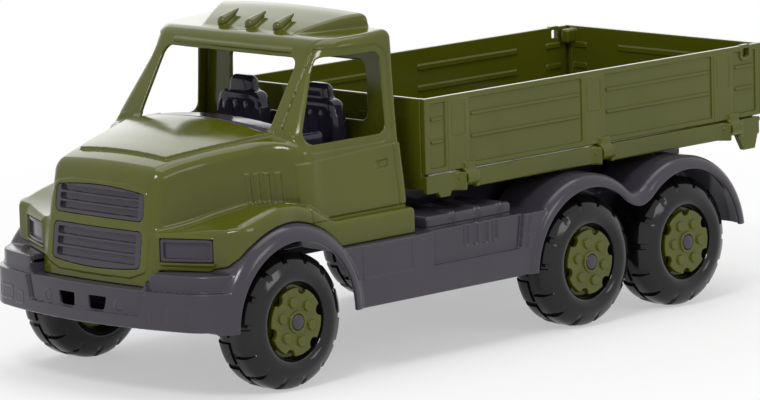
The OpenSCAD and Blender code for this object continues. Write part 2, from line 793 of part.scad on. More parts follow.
module hub(y, s) {
    color(olive)
        place_wheel(y, s)
            difference() {
                union() {
                    rotate_extrude($fn = fine)
                        polygon(hub_section());
                    for (k = [0 : hub_bolts - 1])
                        rotate(k * 360 / hub_bolts)
                            translate([bolt_circle_r, 0, hub_top - eps])
                                cylinder(h = bolt_h + eps, r = bolt_r, $fn = small);
                }
                // notches in the disc's edge
                for (k = [0 : hub_bolts - 1])
                    rotate((k + 0.5) * 360 / hub_bolts)
                        translate([hub_r, 0, hub_top - disc_t + 0.5])
                            cylinder(h = disc_t + eps, r = bolt_r, $fn = small);
            }
}

cap_r = 4.9;

module cap(y, s) {
    color(charcoal)
        place_wheel(y, s) {
            translate([0, 0, hub_top - 0.8])
                cylinder(h = 1.2, r = head_r + run_gap - 0.1, $fn = small);
            translate([0, 0, hub_top])
                cylinder(h = 2, r = cap_r, $fn = small);
        }
}

chassis();
cab_shell();
cab_interior();
grille(0);  // grille_upper
grille(1);  // grille_lower
headlamp();  // headlamp_left
mirror([1, 0, 0]) headlamp();  // headlamp_right
bed_floor();
headboard();
side_board();  // side_board_left
mirror([1, 0, 0]) side_board();  // side_board_right
tailgate();
for (a = AXLES)
    axle(a[1]);
for (a = AXLES, s = SIDES) {
    tyre(a[1], s[1]);
    hub(a[1], s[1]);
    cap(a[1], s[1]);
}
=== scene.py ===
"""Toy flatbed truck: the finished look of each moulding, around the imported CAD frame."""
import math

import bmesh
import bpy
import numpy as np
from mathutils import Matrix, Vector


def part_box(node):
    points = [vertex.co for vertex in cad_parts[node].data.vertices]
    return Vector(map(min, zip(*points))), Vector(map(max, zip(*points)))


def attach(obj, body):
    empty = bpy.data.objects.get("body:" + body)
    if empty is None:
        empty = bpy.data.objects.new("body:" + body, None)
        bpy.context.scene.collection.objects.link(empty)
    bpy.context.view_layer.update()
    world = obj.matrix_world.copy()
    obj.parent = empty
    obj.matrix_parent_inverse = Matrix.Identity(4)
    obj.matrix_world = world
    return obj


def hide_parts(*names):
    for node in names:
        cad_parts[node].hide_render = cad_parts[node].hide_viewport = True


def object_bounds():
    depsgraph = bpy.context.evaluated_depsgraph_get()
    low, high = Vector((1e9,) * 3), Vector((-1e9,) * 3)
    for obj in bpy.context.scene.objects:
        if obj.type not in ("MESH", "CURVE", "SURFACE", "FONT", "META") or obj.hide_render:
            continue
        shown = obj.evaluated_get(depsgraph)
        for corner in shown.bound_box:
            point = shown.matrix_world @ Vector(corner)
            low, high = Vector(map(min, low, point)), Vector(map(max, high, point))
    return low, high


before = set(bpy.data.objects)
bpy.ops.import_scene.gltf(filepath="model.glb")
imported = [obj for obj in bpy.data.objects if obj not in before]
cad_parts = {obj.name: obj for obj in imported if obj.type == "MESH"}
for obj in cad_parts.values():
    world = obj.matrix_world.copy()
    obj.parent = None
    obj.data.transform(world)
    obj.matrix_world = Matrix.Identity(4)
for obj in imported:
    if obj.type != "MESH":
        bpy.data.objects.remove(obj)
CAD_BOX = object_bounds()

# ---------------------------------------------------------------- sizes, in millimetres
MM = 0.001


def node_box(name):
    """Lowest and highest corners of a CAD node, in millimetres."""
    low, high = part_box(name)
    return np.array(low) / MM, np.array(high) / MM


BOX_LOW, BOX_HIGH = (np.array(corner) / MM for corner in CAD_BOX)
FRONT_Y = BOX_LOW[1]  # the bumper's front face
GUARD_X = BOX_HIGH[0]  # the outer faces of the mudguards
TYRE_LOW, TYRE_HIGH = node_box("tyre_front_left")
WHEEL_R = (TYRE_HIGH[2] - TYRE_LOW[2]) / 2
TYRE_W = TYRE_HIGH[0] - TYRE_LOW[0]
TYRE_X = TYRE_HIGH[0]
AXLE_Y = {a: float(sum(box[1] for box in node_box("axle_" + a))) / 2 for a in ("front", "middle", "rear")}
AXLE_F, AXLE_M, AXLE_R = AXLE_Y.values()
BED_LOW, BED_HIGH = node_box("bed_floor")
HEAD_LOW, HEAD_HIGH = node_box("headboard")
GATE_HIGH = node_box("tailgate")[1]
CAB_REAR = node_box("cab_shell")[1][1]
SIDES = (("left", 1), ("right", -1))


# ---------------------------------------------------------------- mesh helpers
def linked(name, data):
    """A new object in the scene around a mesh, lamp or camera."""
    made = bpy.data.objects.new(name, data)
    bpy.context.scene.collection.objects.link(made)
    return made


def turned_mesh(bm, section, centre, steps):
    """Adds a solid of revolution about X. The section is (radius, distance along X) in millimetres."""
    rings = []
    for k in range(steps):
        a = 2 * math.pi * k / steps
        rings.append([bm.verts.new(Vector(centre) + Vector((h, r * math.cos(a), r * math.sin(a)))) for r, h in section])
    faces = []
    for here, there in zip(rings, [*rings[1:], rings[0]]):
        for i in range(len(section) - 1):
            faces.append(bm.faces.new((here[i], here[i + 1], there[i + 1], there[i])))
    for i in (0, len(section) - 1):
        faces.append(bm.faces.new([ring[i] for ring in rings]))
    bmesh.ops.recalc_face_normals(bm, faces=faces)


# ---------------------------------------------------------------- shapes as distance fields
# A field gives the distance to a surface in millimetres, below zero inside.
def meet(a, b, radius=0.0):
    """Where both are inside, with the edge between them rounded."""
    if radius <= 0:
        return np.maximum(a, b)
    corner = np.hypot(np.maximum(a + radius, 0), np.maximum(b + radius, 0))
    return np.minimum(np.maximum(a, b), -radius) + corner


def merge(a, b, radius=0.0):
    """Where either is inside, with a fillet between them."""
    if radius <= 0:
        return np.minimum(a, b)
    corner = np.hypot(np.maximum(radius - a, 0), np.maximum(radius - b, 0))
    return np.maximum(np.minimum(a, b), radius) - corner


def cut(a, b, radius=0.0):
    """The first with the second taken away."""
    return meet(a, -b, radius)


def step(value, edge, width):
    """0 before the edge and 1 after it, smooth over a width."""
    t = np.clip((value - edge) / width + 0.5, 0, 1)
    return t * t * (3 - 2 * t)


def curve(value, xs, ys):
    """A smooth line through the given points, flat beyond its ends."""
    xs, ys = np.array(xs, float), np.array(ys, float)
    slopes = np.gradient(ys, xs)
    value = np.clip(value, xs[0], xs[-1])
    i = np.clip(np.searchsorted(xs, value) - 1, 0, len(xs) - 2)
    width = xs[i + 1] - xs[i]
    t = (value - xs[i]) / width
    a = ys[i] * (1 + 2 * t) * (1 - t) ** 2 + slopes[i] * width * t * (1 - t) ** 2
    return a + ys[i + 1] * t * t * (3 - 2 * t) + slopes[i + 1] * width * t * t * (t - 1)


def outline(u, v, points, radius=0.0):
    """Distance to a polygon, whose corners are rounded by the radius."""
    if radius:
        points = inset(points, radius)
    best = np.full(np.shape(u), 1e9)
    inside = np.zeros(np.shape(u), bool)
    for (au, av), (bu, bv) in zip([points[-1], *points[:-1]], points):
        eu, ev = bu - au, bv - av
        wu, wv = u - au, v - av
        t = np.clip((wu * eu + wv * ev) / (eu * eu + ev * ev), 0, 1)
        best = np.minimum(best, (wu - eu * t) ** 2 + (wv - ev * t) ** 2)
        if abs(ev) > 1e-9:
            inside ^= ((av > v) != (bv > v)) & (u < eu * (v - av) / ev + au)
    return np.where(inside, -1.0, 1.0) * np.sqrt(best) - radius


def inset(points, d):
    """An outline with every side moved in by d; it runs either way round."""
    area = sum(a[0] * b[1] - b[0] * a[1] for a, b in zip([points[-1], *points[:-1]], points))
    turn = 1 if area > 0 else -1
    moved = []
    for i, here in enumerate(points):
        before, after = points[i - 1], points[(i + 1) % len(points)]
        normals = []
        for a, b in ((before, here), (here, after)):
            length = math.hypot(b[0] - a[0], b[1] - a[1])
            normals.append(((a[1] - b[1]) / length * turn, (b[0] - a[0]) / length * turn))
        (mu, mv), (nu, nv) = normals
        k = d / (1 + mu * nu + mv * nv)
        moved.append((here[0] + (mu + nu) * k, here[1] + (mv + nv) * k))
    return moved


def rect(low_u, low_v, high_u, high_v):
    """The corners of a rectangle, as an outline."""
    return [(low_u, low_v), (high_u, low_v), (high_u, high_v), (low_u, high_v)]


def slab(value, low, high):
    """Distance to the space between two parallel planes."""
    return np.maximum(low - value, value - high)


def block(x, y, z, low, high, radius=0.0):
    """Distance to a box with rounded edges."""
    centre, half = (np.array(low) + np.array(high)) / 2, (np.array(high) - np.array(low)) / 2 - radius
    qx, qy, qz = (np.abs(v - c) - h for v, c, h in zip((x, y, z), centre, half))
    outside = np.sqrt(np.maximum(qx, 0) ** 2 + np.maximum(qy, 0) ** 2 + np.maximum(qz, 0) ** 2)
    return outside + np.minimum(np.maximum(np.maximum(qx, qy), qz), 0) - radius


CORNERS = np.array([(1, -1, -1), (-1, -1, 1), (-1, 1, -1), (1, 1, 1)], float)


def slopes_of(field, p, h=0.04):
    """Gradient of a field at points."""
    out = np.zeros_like(p)
    for corner in CORNERS:
        q = p + h * corner
        out += corner * field(q[:, 0], q[:, 1], q[:, 2])[:, None]
    return out / (4 * h)


CHUNK = 600  # blocks sampled at a time
CELLS = 8  # cells along each side of a block of the sampling grid
NEAR = 0.87 * 1.25  # half a block's diagonal over its side, with a margin for fields that are steeper than 1


def sampled(field, low, high, pitch):
    """Field values on a grid. Blocks far from any surface keep one value."""
    if low[0] == -high[0]:
        # the same on both sides of the middle
        values, corner = sampled(field, (pitch / 2, low[1], low[2]), high, pitch)
        return np.concatenate([values[::-1], values]), corner - [values.shape[0] * pitch, 0, 0]
    low = np.array(low, float)
    blocks = np.ceil((np.array(high, float) - low) / (pitch * CELLS)).astype(int) + 1
    side = pitch * CELLS
    axes = [low[k] + side * (np.arange(blocks[k]) + 0.5) - pitch / 2 for k in range(3)]
    cx, cy, cz = (a.ravel() for a in np.meshgrid(*axes, indexing="ij"))
    rough = field(cx, cy, cz)
    values = np.repeat(np.repeat(np.repeat(rough.reshape(blocks), CELLS, 0), CELLS, 1), CELLS, 2)
    near = np.flatnonzero(np.abs(rough) < side * NEAR + pitch)
    local = (np.arange(CELLS) - (CELLS - 1) / 2) * pitch
    lx, ly, lz = (a.ravel() for a in np.meshgrid(local, local, local, indexing="ij"))
    tiled = values.reshape(blocks[0], CELLS, blocks[1], CELLS, blocks[2], CELLS)
    bi, bj, bk = np.unravel_index(near, tuple(blocks))
    for start in range(0, len(near), CHUNK):
        part = slice(start, start + CHUNK)
        px = (cx[near[part], None] + lx).ravel()
        py = (cy[near[part], None] + ly).ravel()
        pz = (cz[near[part], None] + lz).ravel()
        got = field(px, py, pz).reshape(-1, CELLS, CELLS, CELLS)
        for n, (i, j, k) in enumerate(zip(bi[part], bj[part], bk[part])):
            tiled[i, :, j, :, k, :] = got[n]
    return values, low


def surface(name, field, low, high, pitch, material, keep=1.0):
    """Meshes a field's surface with one vertex in each cell that it passes through."""
    values, origin = sampled(field, low, high, pitch)
    inside = values < 0
    nx, ny, nz = values.shape
    corners = [(i, j, k) for i in (0, 1) for j in (0, 1) for k in (0, 1)]
    count = sum(inside[i:nx - 1 + i, j:ny - 1 + j, k:nz - 1 + k].astype(np.int8) for i, j, k in corners)
    active = (count > 0) & (count < 8)
    cells = np.argwhere(active)
    number = np.full(active.shape, -1, np.int64)
    number[active] = np.arange(len(cells))
    corner_values = np.stack([values[tuple((cells + corner).T)] for corner in corners], 1)
    total = np.zeros((len(cells), 3))
    hits = np.zeros(len(cells))
    for a, ca in enumerate(corners):
        for b, cb in enumerate(corners):
            if b <= a or sum(abs(p - q) for p, q in zip(ca, cb)) != 1:
                continue
            fa, fb = corner_values[:, a], corner_values[:, b]
            crossing = (fa < 0) != (fb < 0)
            t = np.where(crossing, fa / np.where(crossing, fa - fb, 1), 0)[:, None]
            total += np.where(crossing[:, None], np.array(ca) + t * (np.array(cb) - np.array(ca)), 0)
            hits += crossing
    points = origin + (cells + total / hits[:, None]) * pitch
    quads = []
    for axis in range(3):
        u, v = (axis + 1) % 3, (axis + 2) % 3
        here = [slice(0, n) for n in values.shape]
        there = list(here)
        here[axis], there[axis] = slice(0, values.shape[axis] - 1), slice(1, None)
        change = inside[tuple(here)] != inside[tuple(there)]
        at = np.argwhere(change)
        for side in (u, v):
            at = at[(at[:, side] > 0) & (at[:, side] < values.shape[side] - 1)]
        around = []
        for du, dv in ((-1, -1), (0, -1), (0, 0), (-1, 0)):
            cell = at.copy()
            cell[:, u] += du
            cell[:, v] += dv
            around.append(number[tuple(cell.T)])
        quad = np.stack(around, 1)
        outward = inside[tuple(at.T)]
        quads.append(np.where(outward[:, None], quad, quad[:, ::-1]))
    quads = np.concatenate(quads)
    mesh = bpy.data.meshes.new(name)
    mesh.vertices.add(len(points))
    mesh.vertices.foreach_set("co", (points * MM).ravel())
    mesh.loops.add(quads.size)
    mesh.loops.foreach_set("vertex_index", quads.ravel())
    mesh.polygons.add(len(quads))
    mesh.polygons.foreach_set("loop_start", np.arange(0, quads.size, 4))
    mesh.update(calc_edges=True)
    mesh.validate()
    made = linked(name, mesh)
    if keep < 1:
        thinner = made.modifiers.new("thin", "DECIMATE")
        thinner.ratio = keep
        applied(made)
        mesh = made.data
    co = np.empty(len(mesh.vertices) * 3)
    mesh.vertices.foreach_get("co", co)
    co = settled(field, co.reshape(-1, 3) / MM, pitch * 0.5)
    mesh.vertices.foreach_set("co", (co * MM).ravel())
    mesh.shade_smooth()
    normals = slopes_of(field, co)
    normals /= np.maximum(np.linalg.norm(normals, axis=1, keepdims=True), 1e-9)
    mesh.update()
    mesh.normals_split_custom_set_from_vertices(normals)
    mesh.materials.append(material)
    return made


def settled(field, points, reach):
    """Points moved onto the surface, each by no more than the reach."""
    start = points.copy()
    for _ in range(2):
        slope = slopes_of(field, points)
        away = field(points[:, 0], points[:, 1], points[:, 2])
        move = slope * (away / np.maximum((slope ** 2).sum(1), 0.25))[:, None]
        points = start + np.clip(points - move - start, -reach, reach)
    return points


def applied(made):
    """Applies an object's modifiers to its mesh."""
    graph = bpy.context.evaluated_depsgraph_get()
    mesh = bpy.data.meshes.new_from_object(made.evaluated_get(graph))
    old = made.data
    made.modifiers.clear()
    made.data = mesh
    bpy.data.meshes.remove(old)


# ---------------------------------------------------------------- materials
def node(tree, kind, values=None, operation=None):
    """Adds a shader node and sets some of its sockets."""
    made = tree.nodes.new("ShaderNode" + kind)
    for socket, value in (values or {}).items():
        made.inputs[socket].default_value = value
    if operation:
        made.operation = operation
    return made


def new_tree(data):
    """The emptied node tree of a material or world."""
    data.use_nodes = True
    data.node_tree.nodes.clear()
    return data.node_tree


FLOW_SHADE = 0.06  # how far the flow marks darken and lighten a colour


def plastic(name, colour, roughness):
    """Moulded plastic: slight flow shading in the colour, uneven gloss and a faint ripple in the surface."""
    mat = bpy.data.materials.new(name)
    tree = new_tree(mat)
    out = node(tree, "OutputMaterial")
    shader = node(tree, "BsdfPrincipled", {"IOR": 1.5, "Specular IOR Level": 0.34})
    place = node(tree, "TexCoord")
    flow = node(tree, "TexNoise", {"Scale": 18.0, "Detail": 3.0, "Distortion": 0.6})
    ramp = node(tree, "ValToRGB")
    for element, position, change in zip(ramp.color_ramp.elements, (0.35, 0.65), (-FLOW_SHADE, FLOW_SHADE)):
        element.position = position
        element.color = [min(1, c * (1 + change)) for c in colour] + [1]
    fine_grain = node(tree, "TexNoise", {"Scale": 60.0, "Detail": 4.0})
    gloss = node(tree, "MapRange", {"From Min": 0.3, "From Max": 0.7,
                                    "To Min": roughness * 0.8, "To Max": roughness * 1.25})
    ripple = node(tree, "Bump", {"Strength": 0.02, "Distance": 0.002})
    link = tree.links.new
    link(place.outputs["Object"], flow.inputs["Vector"])
    link(place.outputs["Object"], fine_grain.inputs["Vector"])
    link(flow.outputs["Fac"], ramp.inputs["Fac"])
    link(ramp.outputs["Color"], shader.inputs["Base Color"])
    link(fine_grain.outputs["Fac"], gloss.inputs["Value"])
    link(gloss.outputs["Result"], shader.inputs["Roughness"])
    link(flow.outputs["Fac"], ripple.inputs["Height"])
    link(ripple.outputs["Normal"], shader.inputs["Normal"])
    link(shader.outputs["BSDF"], out.inputs["Surface"])
    return mat


def linear(r, g, b):
    """Linear colour from 0-255 display values."""
    return [((c / 255 + 0.055) / 1.055) ** 2.4 if c > 10 else c / 255 / 12.92 for c in (r, g, b)]


OLIVE = plastic("olive_plastic", linear(80, 84, 14), roughness=0.13)
CHARCOAL = plastic("charcoal_plastic", linear(60, 56, 65), roughness=0.17)
NAVY = plastic("navy_plastic", linear(46, 42, 56), roughness=0.13)
BLACK = plastic("black_plastic", linear(20, 18, 19), roughness=0.11)
STEEL = plastic("axle_steel", linear(150, 150, 152), roughness=0.3)
STEEL.node_tree.nodes["Principled BSDF"].inputs["Metallic"].default_value = 1.0


# ---------------------------------------------------------------- cab shell
WALL = 2.4
FIT_GAP = 0.2  # room around the inserts in the nose
ARCH_R = 48.9  # wheel arch of the fenders
FENDER_X = GUARD_X - 7
SCREEN_Y = AXLE_F + 18.5
SCREEN_RAKE, SCREEN_BOW = 0.618, 0.0005
WINDOW_R = 5
SIDE_WINDOW = [(SCREEN_Y + 3.4, 117.5), (CAB_REAR - 9, 117.5), (CAB_REAR - 9.5, 158.5),
               (SCREEN_Y + 26.3, 158.5)]
SCREEN = [(-60, 125.5), (0, 125.5), (16, 125.2), (32, 124), (47.5, 121.6), (48.2, 158), (-60, 158)]
REAR_WINDOW = [(-50, 121), (50, 121), (49, 151.5), (-49, 151.5)]
LOUVRES = (-150.8, -146.7, -142.6, -138.5)
LAMP_Z = (67.6, 79)
LAMP_L = 27.6
LAMP_START = (43, -201.4)  # front inner end of a headlamp in plan
LAMP_SLOPE = (0.892, 0.4515)  # direction of its face in plan


def arched(low, high, rise, half=32.0):
    """A grille's outline, whose lower or upper edge bows outward in the middle by the rise."""
    xs = np.linspace(-half, half, 9)
    bow = [rise * (1 - (x / half) ** 2) for x in xs]
    top = [(x, high - max(rise, 0) + max(b, 0)) for x, b in zip(xs, bow)]
    bottom = [(x, low - min(rise, 0) + min(b, 0)) for x, b in zip(xs, bow)]
    return [(float(x), float(z)) for x, z in bottom] + [(float(x), float(z)) for x, z in top[::-1]]


GRILLES = [arched(86.3, 101.8, 2.4), arched(61.4, 81.3, -2.0)]
SLOTS = [[(88.2, 91.4), (92.6, 95.8), (97.0, 99.6)], [(64.9, 68.8), (70.2, 74.1), (75.5, 79.2)]]


def nose_y(ax, z):
    """Y of the nose's face."""
    return -206.1 + (z - 64.6) * 0.139 + 0.00115 * ax ** 2


def lamp_place(ax, y):
    """Places along and out of a headlamp's face."""
    dx, dy = ax - LAMP_START[0], y - LAMP_START[1]
    return dx * LAMP_SLOPE[0] + dy * LAMP_SLOPE[1], dx * LAMP_SLOPE[1] - dy * LAMP_SLOPE[0]


def hood_top(y):
    """Height of the middle of the hood."""
    return curve(y, [-204, -196, -188, -170, -150, -131.5, -110],
                 [110.5, 113.2, 115.6, 119.3, 122.8, 125.9, 126.4])


def hood_half(y):
    """Half width of the hood at its upper edge."""
    return curve(y, [-205, -196, -181, -166, -152, -143, -137.5, -133, -112],
                 [36.5, 38.6, 42.5, 47, 52.5, 57.3, 62.5, 68.5, 70.5])


def hood_body(ax, y, z):
    """The hood, with its raised middle, and the nose."""
    crown = hood_top(y) - 0.0016 * ax ** 2
    raised = outline(ax, y, [(-40, -186), (31.5, -185.6), (52, -128), (60, -100), (-40, -100)], 3)
    crown = crown + 1.6 * (1 - step(raised, 0, 0.9))
    top = (z - crown) * 0.98
    lean = (z - 104) * 0.11
    side = (ax - (hood_half(y) - lean)) * 0.92
    nose = nose_y(ax, z) - y
    body = meet(meet(side, nose, 5), top, 5)
    return meet(body, y - (SCREEN_Y + 22))


def lower_body(ax, y, z):
    """Fenders and sills: a plan shape below a curved top, which rounds more over the wheel."""
    top = curve(y, [-206, -199, -182, -168, -154.6, -142, -134, -127, -120.6, -115, -109],
                [81.2, 82.2, 85.6, 89.6, 92.3, 91.6, 89.3, 85.9, 81.5, 79.6, 79.5])
    plan = outline(ax, y, [(-60, -201.6), (43, -201.6), (68.2, -189.1), (76.2, -187.8),
                           (FENDER_X + 0.8, -183.5), (FENDER_X + 2.2, -175), (FENDER_X + 2.2, -165),
                           (FENDER_X + 1.6, -155), (FENDER_X, -144), (FENDER_X, CAB_REAR),
                           (-60, CAB_REAR)], 2)
    inward = 0.11 * np.clip(FENDER_X - 4 - ax, 0, 40) * np.clip((y + 200) / 40, 0, 1) * step(-y, 124, 16)
    height = (z - top + inward) * 0.93
    bulge = step(y, -180, 12) * step(-y, 122, 12)
    return meet(plan, height, 2.4) * (1 - bulge) + meet(plan, height, 5.5) * bulge


def screen_depth(ax, y, z):
    """How far a place lies behind the windscreen's surface, which is upright below the hood's top."""
    height = z - 121
    rise = 0.5 * (height + np.sqrt(height ** 2 + 9))
    foot = SCREEN_Y - 1.8
    return (y - (foot + rise * SCREEN_RAKE) - SCREEN_BOW * ax ** 2) / math.hypot(1, SCREEN_RAKE)


def cabin_body(ax, y, z):
    """Doors, pillars and roof."""
    half = curve(z, [70, 79.5, 112, 160, 172], [74.7, 74.5, 70.7, 67.3, 66.6])
    narrow = np.clip((-72 - y) / 32, 0, 1.2) ** 2 * np.clip((z - 124) / 42, 0, 1) * 6
    side = (ax - half + narrow) * 0.98
    back = y - (CAB_REAR - 0.4)
    roof = z - (167.6 + 0.055 * (y + 101) - 0.0002 * ax ** 2)
    corners = meet(side, -screen_depth(ax, y, z), 9)
    corners = meet(corners, back, 3.5)
    return meet(corners, roof, 4.5)


def fairing_body(ax, y, z):
    """The wedge on the roof, narrow at its front."""
    rise = curve(y, [-99, -94, -88, -80, -72, -60], [167.4, 169.6, 171.9, 174.4, 176.5, 177.9])
    top = (z - (rise - 0.0006 * ax ** 2)) * 0.88
    half = 33.6 + (y + 97.7) * 0.56
    side = (ax - half - (176 - z) * 0.12) * 0.86
    back = (y - (CAB_REAR - 1.6) + (z - 169) * 0.12) * 0.98
    inside = np.maximum(-98.5 - y, 162 - z)
    return np.maximum(meet(meet(side, back, 4), top, 2.6), inside)


def teardrop(ax, y, z, x0):
    """One of the pointed lamps on the roof."""
    start, length = np.array([-94.2, 170.3]), np.array([10.7, 5.3])  # its thick end and its extent in Y and Z
    dy, dz = y - start[0], z - start[1]
    t = np.clip((dy * length[0] + dz * length[1]) / (length ** 2).sum(), 0, 1)
    radius = 3.2 * (1 - t) ** 0.85 + 0.35 * t
    return np.sqrt((ax - x0) ** 2 + (dy - t * length[0]) ** 2 + (dz - t * length[1]) ** 2) - radius


def line_dent(distance, width, depth):
    """A smooth furrow along a line, or a ridge where the depth is below zero."""
    t = np.clip(1 - np.abs(distance) / width, 0, 1)
    return depth * t * t * (3 - 2 * t)


def segment(u, v, a, b):
    """Distance to a straight line between two points of a plane."""
    (au, av), (bu, bv) = a, b
    t = np.clip(((u - au) * (bu - au) + (v - av) * (bv - av)) / ((bu - au) ** 2 + (bv - av) ** 2), 0, 1)
    return np.hypot(u - au - t * (bu - au), v - av - t * (bv - av))


def cab_dents(ax, y, z):
    """How far the outer surface of the cab lies below its plain shape."""
    dent = np.zeros_like(ax)
    on_side = (ax > 55) & (y > SCREEN_Y - 6)
    window = outline(y, z, SIDE_WINDOW, WINDOW_R)
    dent += np.where(on_side, 0.8 * (1 - step(window, 4.2, 1.0)), 0)
    belt = z - (109.2 + (y + 131.4) * 0.039)
    door = np.where(on_side & (z < 116), step(z, 81, 1.2), 0.0)
    dent -= door * 0.9 * (1 - step(belt, 0, 1.0)) * step(y, SCREEN_Y - 1.2, 1.0)
    rear_seam = segment(y, z, (CAB_REAR - 6.2, 81), (CAB_REAR - 6.6, 112))
    dent += np.where(on_side, line_dent(rear_seam, 0.8, 0.5), 0)
    handle = outline(y, z, [(-80, 100.4), (-71.6, 100.8), (-71.6, 104.9), (-80, 104.5)], 0.8)
    grip = outline(y, z, [(-77.6, 101.2), (-72.2, 101.5), (-72.2, 104.3), (-77.6, 104)], 0.5)
    dent += np.where(on_side, 0.8 * (1 - step(handle, 0, 0.9)) - 0.7 * (1 - step(grip, 0, 0.9)), 0)
    on_hood = (ax > 40) & (y < SCREEN_Y - 4) & (z > 86) & (ax < hood_half(y) + 3.5)
    louvre_height = (1 - step(z, 105.4, 0.8)) * step(z, 86, 3)
    for louvre in LOUVRES:
        dent -= np.where(on_hood, (1 - step(np.abs(y - louvre), 1.1, 0.8)) * louvre_height, 0)
    front = (ax < 45) & (y < -190) & (z < 106)
    panel = outline(ax, z, [(-60, 57.4), (26, 58.4), (36.6, 62), (36.9, 92), (33, 101.2), (20, 103.6),
                            (-60, 104.3)], 4)
    dent -= np.where(front, 0.7 * (1 - step(panel, 0, 1.1)), 0)
    visor = segment(ax, z, (-42, 161.2), (42, 161.2))
    dent -= np.where(y < SCREEN_Y + 40, 1.2 * (1 - step(visor, 1.0, 1.6)), 0)
    lamp = outline(ax, z, rect(42, 65.6, 69.5, 80.4), 2.5)
    dent -= np.where((y < -184) & (z < 84), 0.5 * (1 - step(lamp, 0, 0.9)), 0)
    return dent


def cab_field(x, y, z):
    """The cab: four bodies in one, hollowed, with its windows and the seats of its inserts cut out."""
    ax = np.abs(x)
    lower, hood = lower_body(ax, y, z), hood_body(ax, y, z)
    cabin, fairing = cabin_body(ax, y, z), fairing_body(ax, y, z)
    body = merge(lower, hood, 2.2)
    body = merge(body, cabin, 1.6)
    body = merge(body, fairing, 0.8)
    lamps = np.minimum(teardrop(ax, y, z, 0), teardrop(ax, y, z, 20.2))
    wheel = np.hypot(y - AXLE_F, z - WHEEL_R)
    arch = cut(body, meet(wheel - ARCH_R, 52 - ax), 0.8)
    shell = meet(merge(arch + cab_dents(ax, y, z), lamps, 0.6), -(arch + WALL))
    shell = np.maximum(shell, ARCH_R - wheel)
    # lower edges of the nose, the fenders and the sills
    for lowest in (54.9 - z, np.minimum(63.2 - z, ax - 42), np.minimum(66.5 - z, y - AXLE_F)):
        shell = meet(shell, lowest, 0.3)
    for points in GRILLES:
        shell = cut(shell, meet(outline(x, z, points, 3) - FIT_GAP, y + 188), 0.4)
    u, w = lamp_place(ax, y)
    lamp_height = slab(z, LAMP_Z[0] - FIT_GAP, LAMP_Z[1] + FIT_GAP)
    shell = cut(shell, meet(slab(u, -FIT_GAP, LAMP_L + FIT_GAP), meet(lamp_height, -5 - w)), 0.4)
    shell = cut(shell, meet(outline(ax, z, SCREEN, WINDOW_R), slab(screen_depth(ax, y, z), -2, 8)), 1)
    shell = cut(shell, meet(outline(y, z, SIDE_WINDOW, WINDOW_R), 55 - ax), 1)
    return cut(shell, meet(outline(x, z, REAR_WINDOW, WINDOW_R), CAB_REAR - 12 - y), 1)


def grille_field(points, slots):
    """A grille insert that follows the nose, with its slots."""
    def field(x, y, z):
        depth = y - nose_y(x, z)
        panel = meet(outline(x, z, points, 3), slab(depth, -0.5, 3.4), 0.5)
        for low, high in slots:
            slot = outline(x, z, rect(-28.6, low, 28.6, high), 1.1)
            panel = cut(panel, meet(slot, depth - 1.5), 0.35)
        return panel
    return field


def lamp_field(x, y, z):
    """A headlamp insert: a bowed frame around a sunk lens."""
    u, w = lamp_place(x, y)
    w = w - 0.9 * (1 - ((u - LAMP_L / 2) / (LAMP_L / 2)) ** 2)
    surround = meet(outline(u, z, rect(0, LAMP_Z[0], LAMP_L, LAMP_Z[1]), 1.2), slab(w, -4, 0.3), 0.6)
    lens = outline(u, z, rect(1.9, LAMP_Z[0] + 1.8, LAMP_L - 1.6, LAMP_Z[1] - 1.8), 0.9)
    return cut(surround, meet(lens, -1.1 - w), 0.3)


# ---------------------------------------------------------------- chassis
FRONT_R, GUARD_R, REAR_R = 48.7, 38.9, 48.0  # outside of the front guards, their opening, outside of the rear ones
REAR_OPENING_R = 41
REAR_Z = WHEEL_R - 2
HOUSE_X = TYRE_X - TYRE_W - 5
DECK_Z = 66.3
SKIRT_X = GUARD_X - 2
BOGIE_Y = AXLE_M - REAR_R
GUARD_WALL = 2.5
BUMPER_END = AXLE_F - GUARD_R
BOW = 9.9  # how far the bumper bows forward over its half width
BOW_HALF = GUARD_X - 18
BOW_R = (BOW_HALF ** 2 + BOW ** 2) / (2 * BOW)
NOTCH_X = 43  # half width of the bumper's low middle
RAIL_X = 47
DECK_END = AXLE_R + 38
VENTS = (-26.8, -19.8, -12.8, -5.8)
TANK_RINGS = (-31.5, -13, 3)


def skirt_dents(ax, y, z):
    """Panels, vents and a step on the outer face of the skirt."""
    dent = line_dent(outline(y, z, rect(-103, 49.3, -68, 65.2), 0.5), 0.9, -0.6)
    panel = outline(y, z, [(-53, 48.5), (11.5, 48.5), (15.5, 75), (-53, 75)], 1.5)
    dent = dent + 2.3 * (1 - step(panel, -0.3, 0.9))
    for vent in VENTS:
        groove = outline(y, z, rect(vent - 2, 54.4, vent + 2, 80), 1.9)
        dent = dent + 1.0 * (1 - step(groove, -0.3, 0.9))
    slant = segment(y, z, (14.6, 49.5), (18.4, 66))
    return dent + line_dent(slant, 1.2, -0.8)


def bumper_dents(ax, z):
    """Steps and marks on the bumper's face."""
    dent = 3.4 * step(z, 54.8, 1.0) * step(ax, 41, 2)
    middle = outline(ax, z, [(-60, 41.6), (40.5, 41.6), (43.5, 54), (43.5, 80), (-60, 80)], 3)
    dent = np.maximum(dent, 1.6 * (1 - step(middle, -0.4, 1.0)))
    dent = dent + line_dent(np.hypot(ax - 26, z - 46.2) - 2.3, 0.7, -0.35)
    for corners in (rect(47, 39.3, 53.5, 45.2), rect(57, 40.3, 70, 46.6)):
        dent = dent + line_dent(outline(ax, z, corners, 0.5), 0.7, -0.3)
    return dent


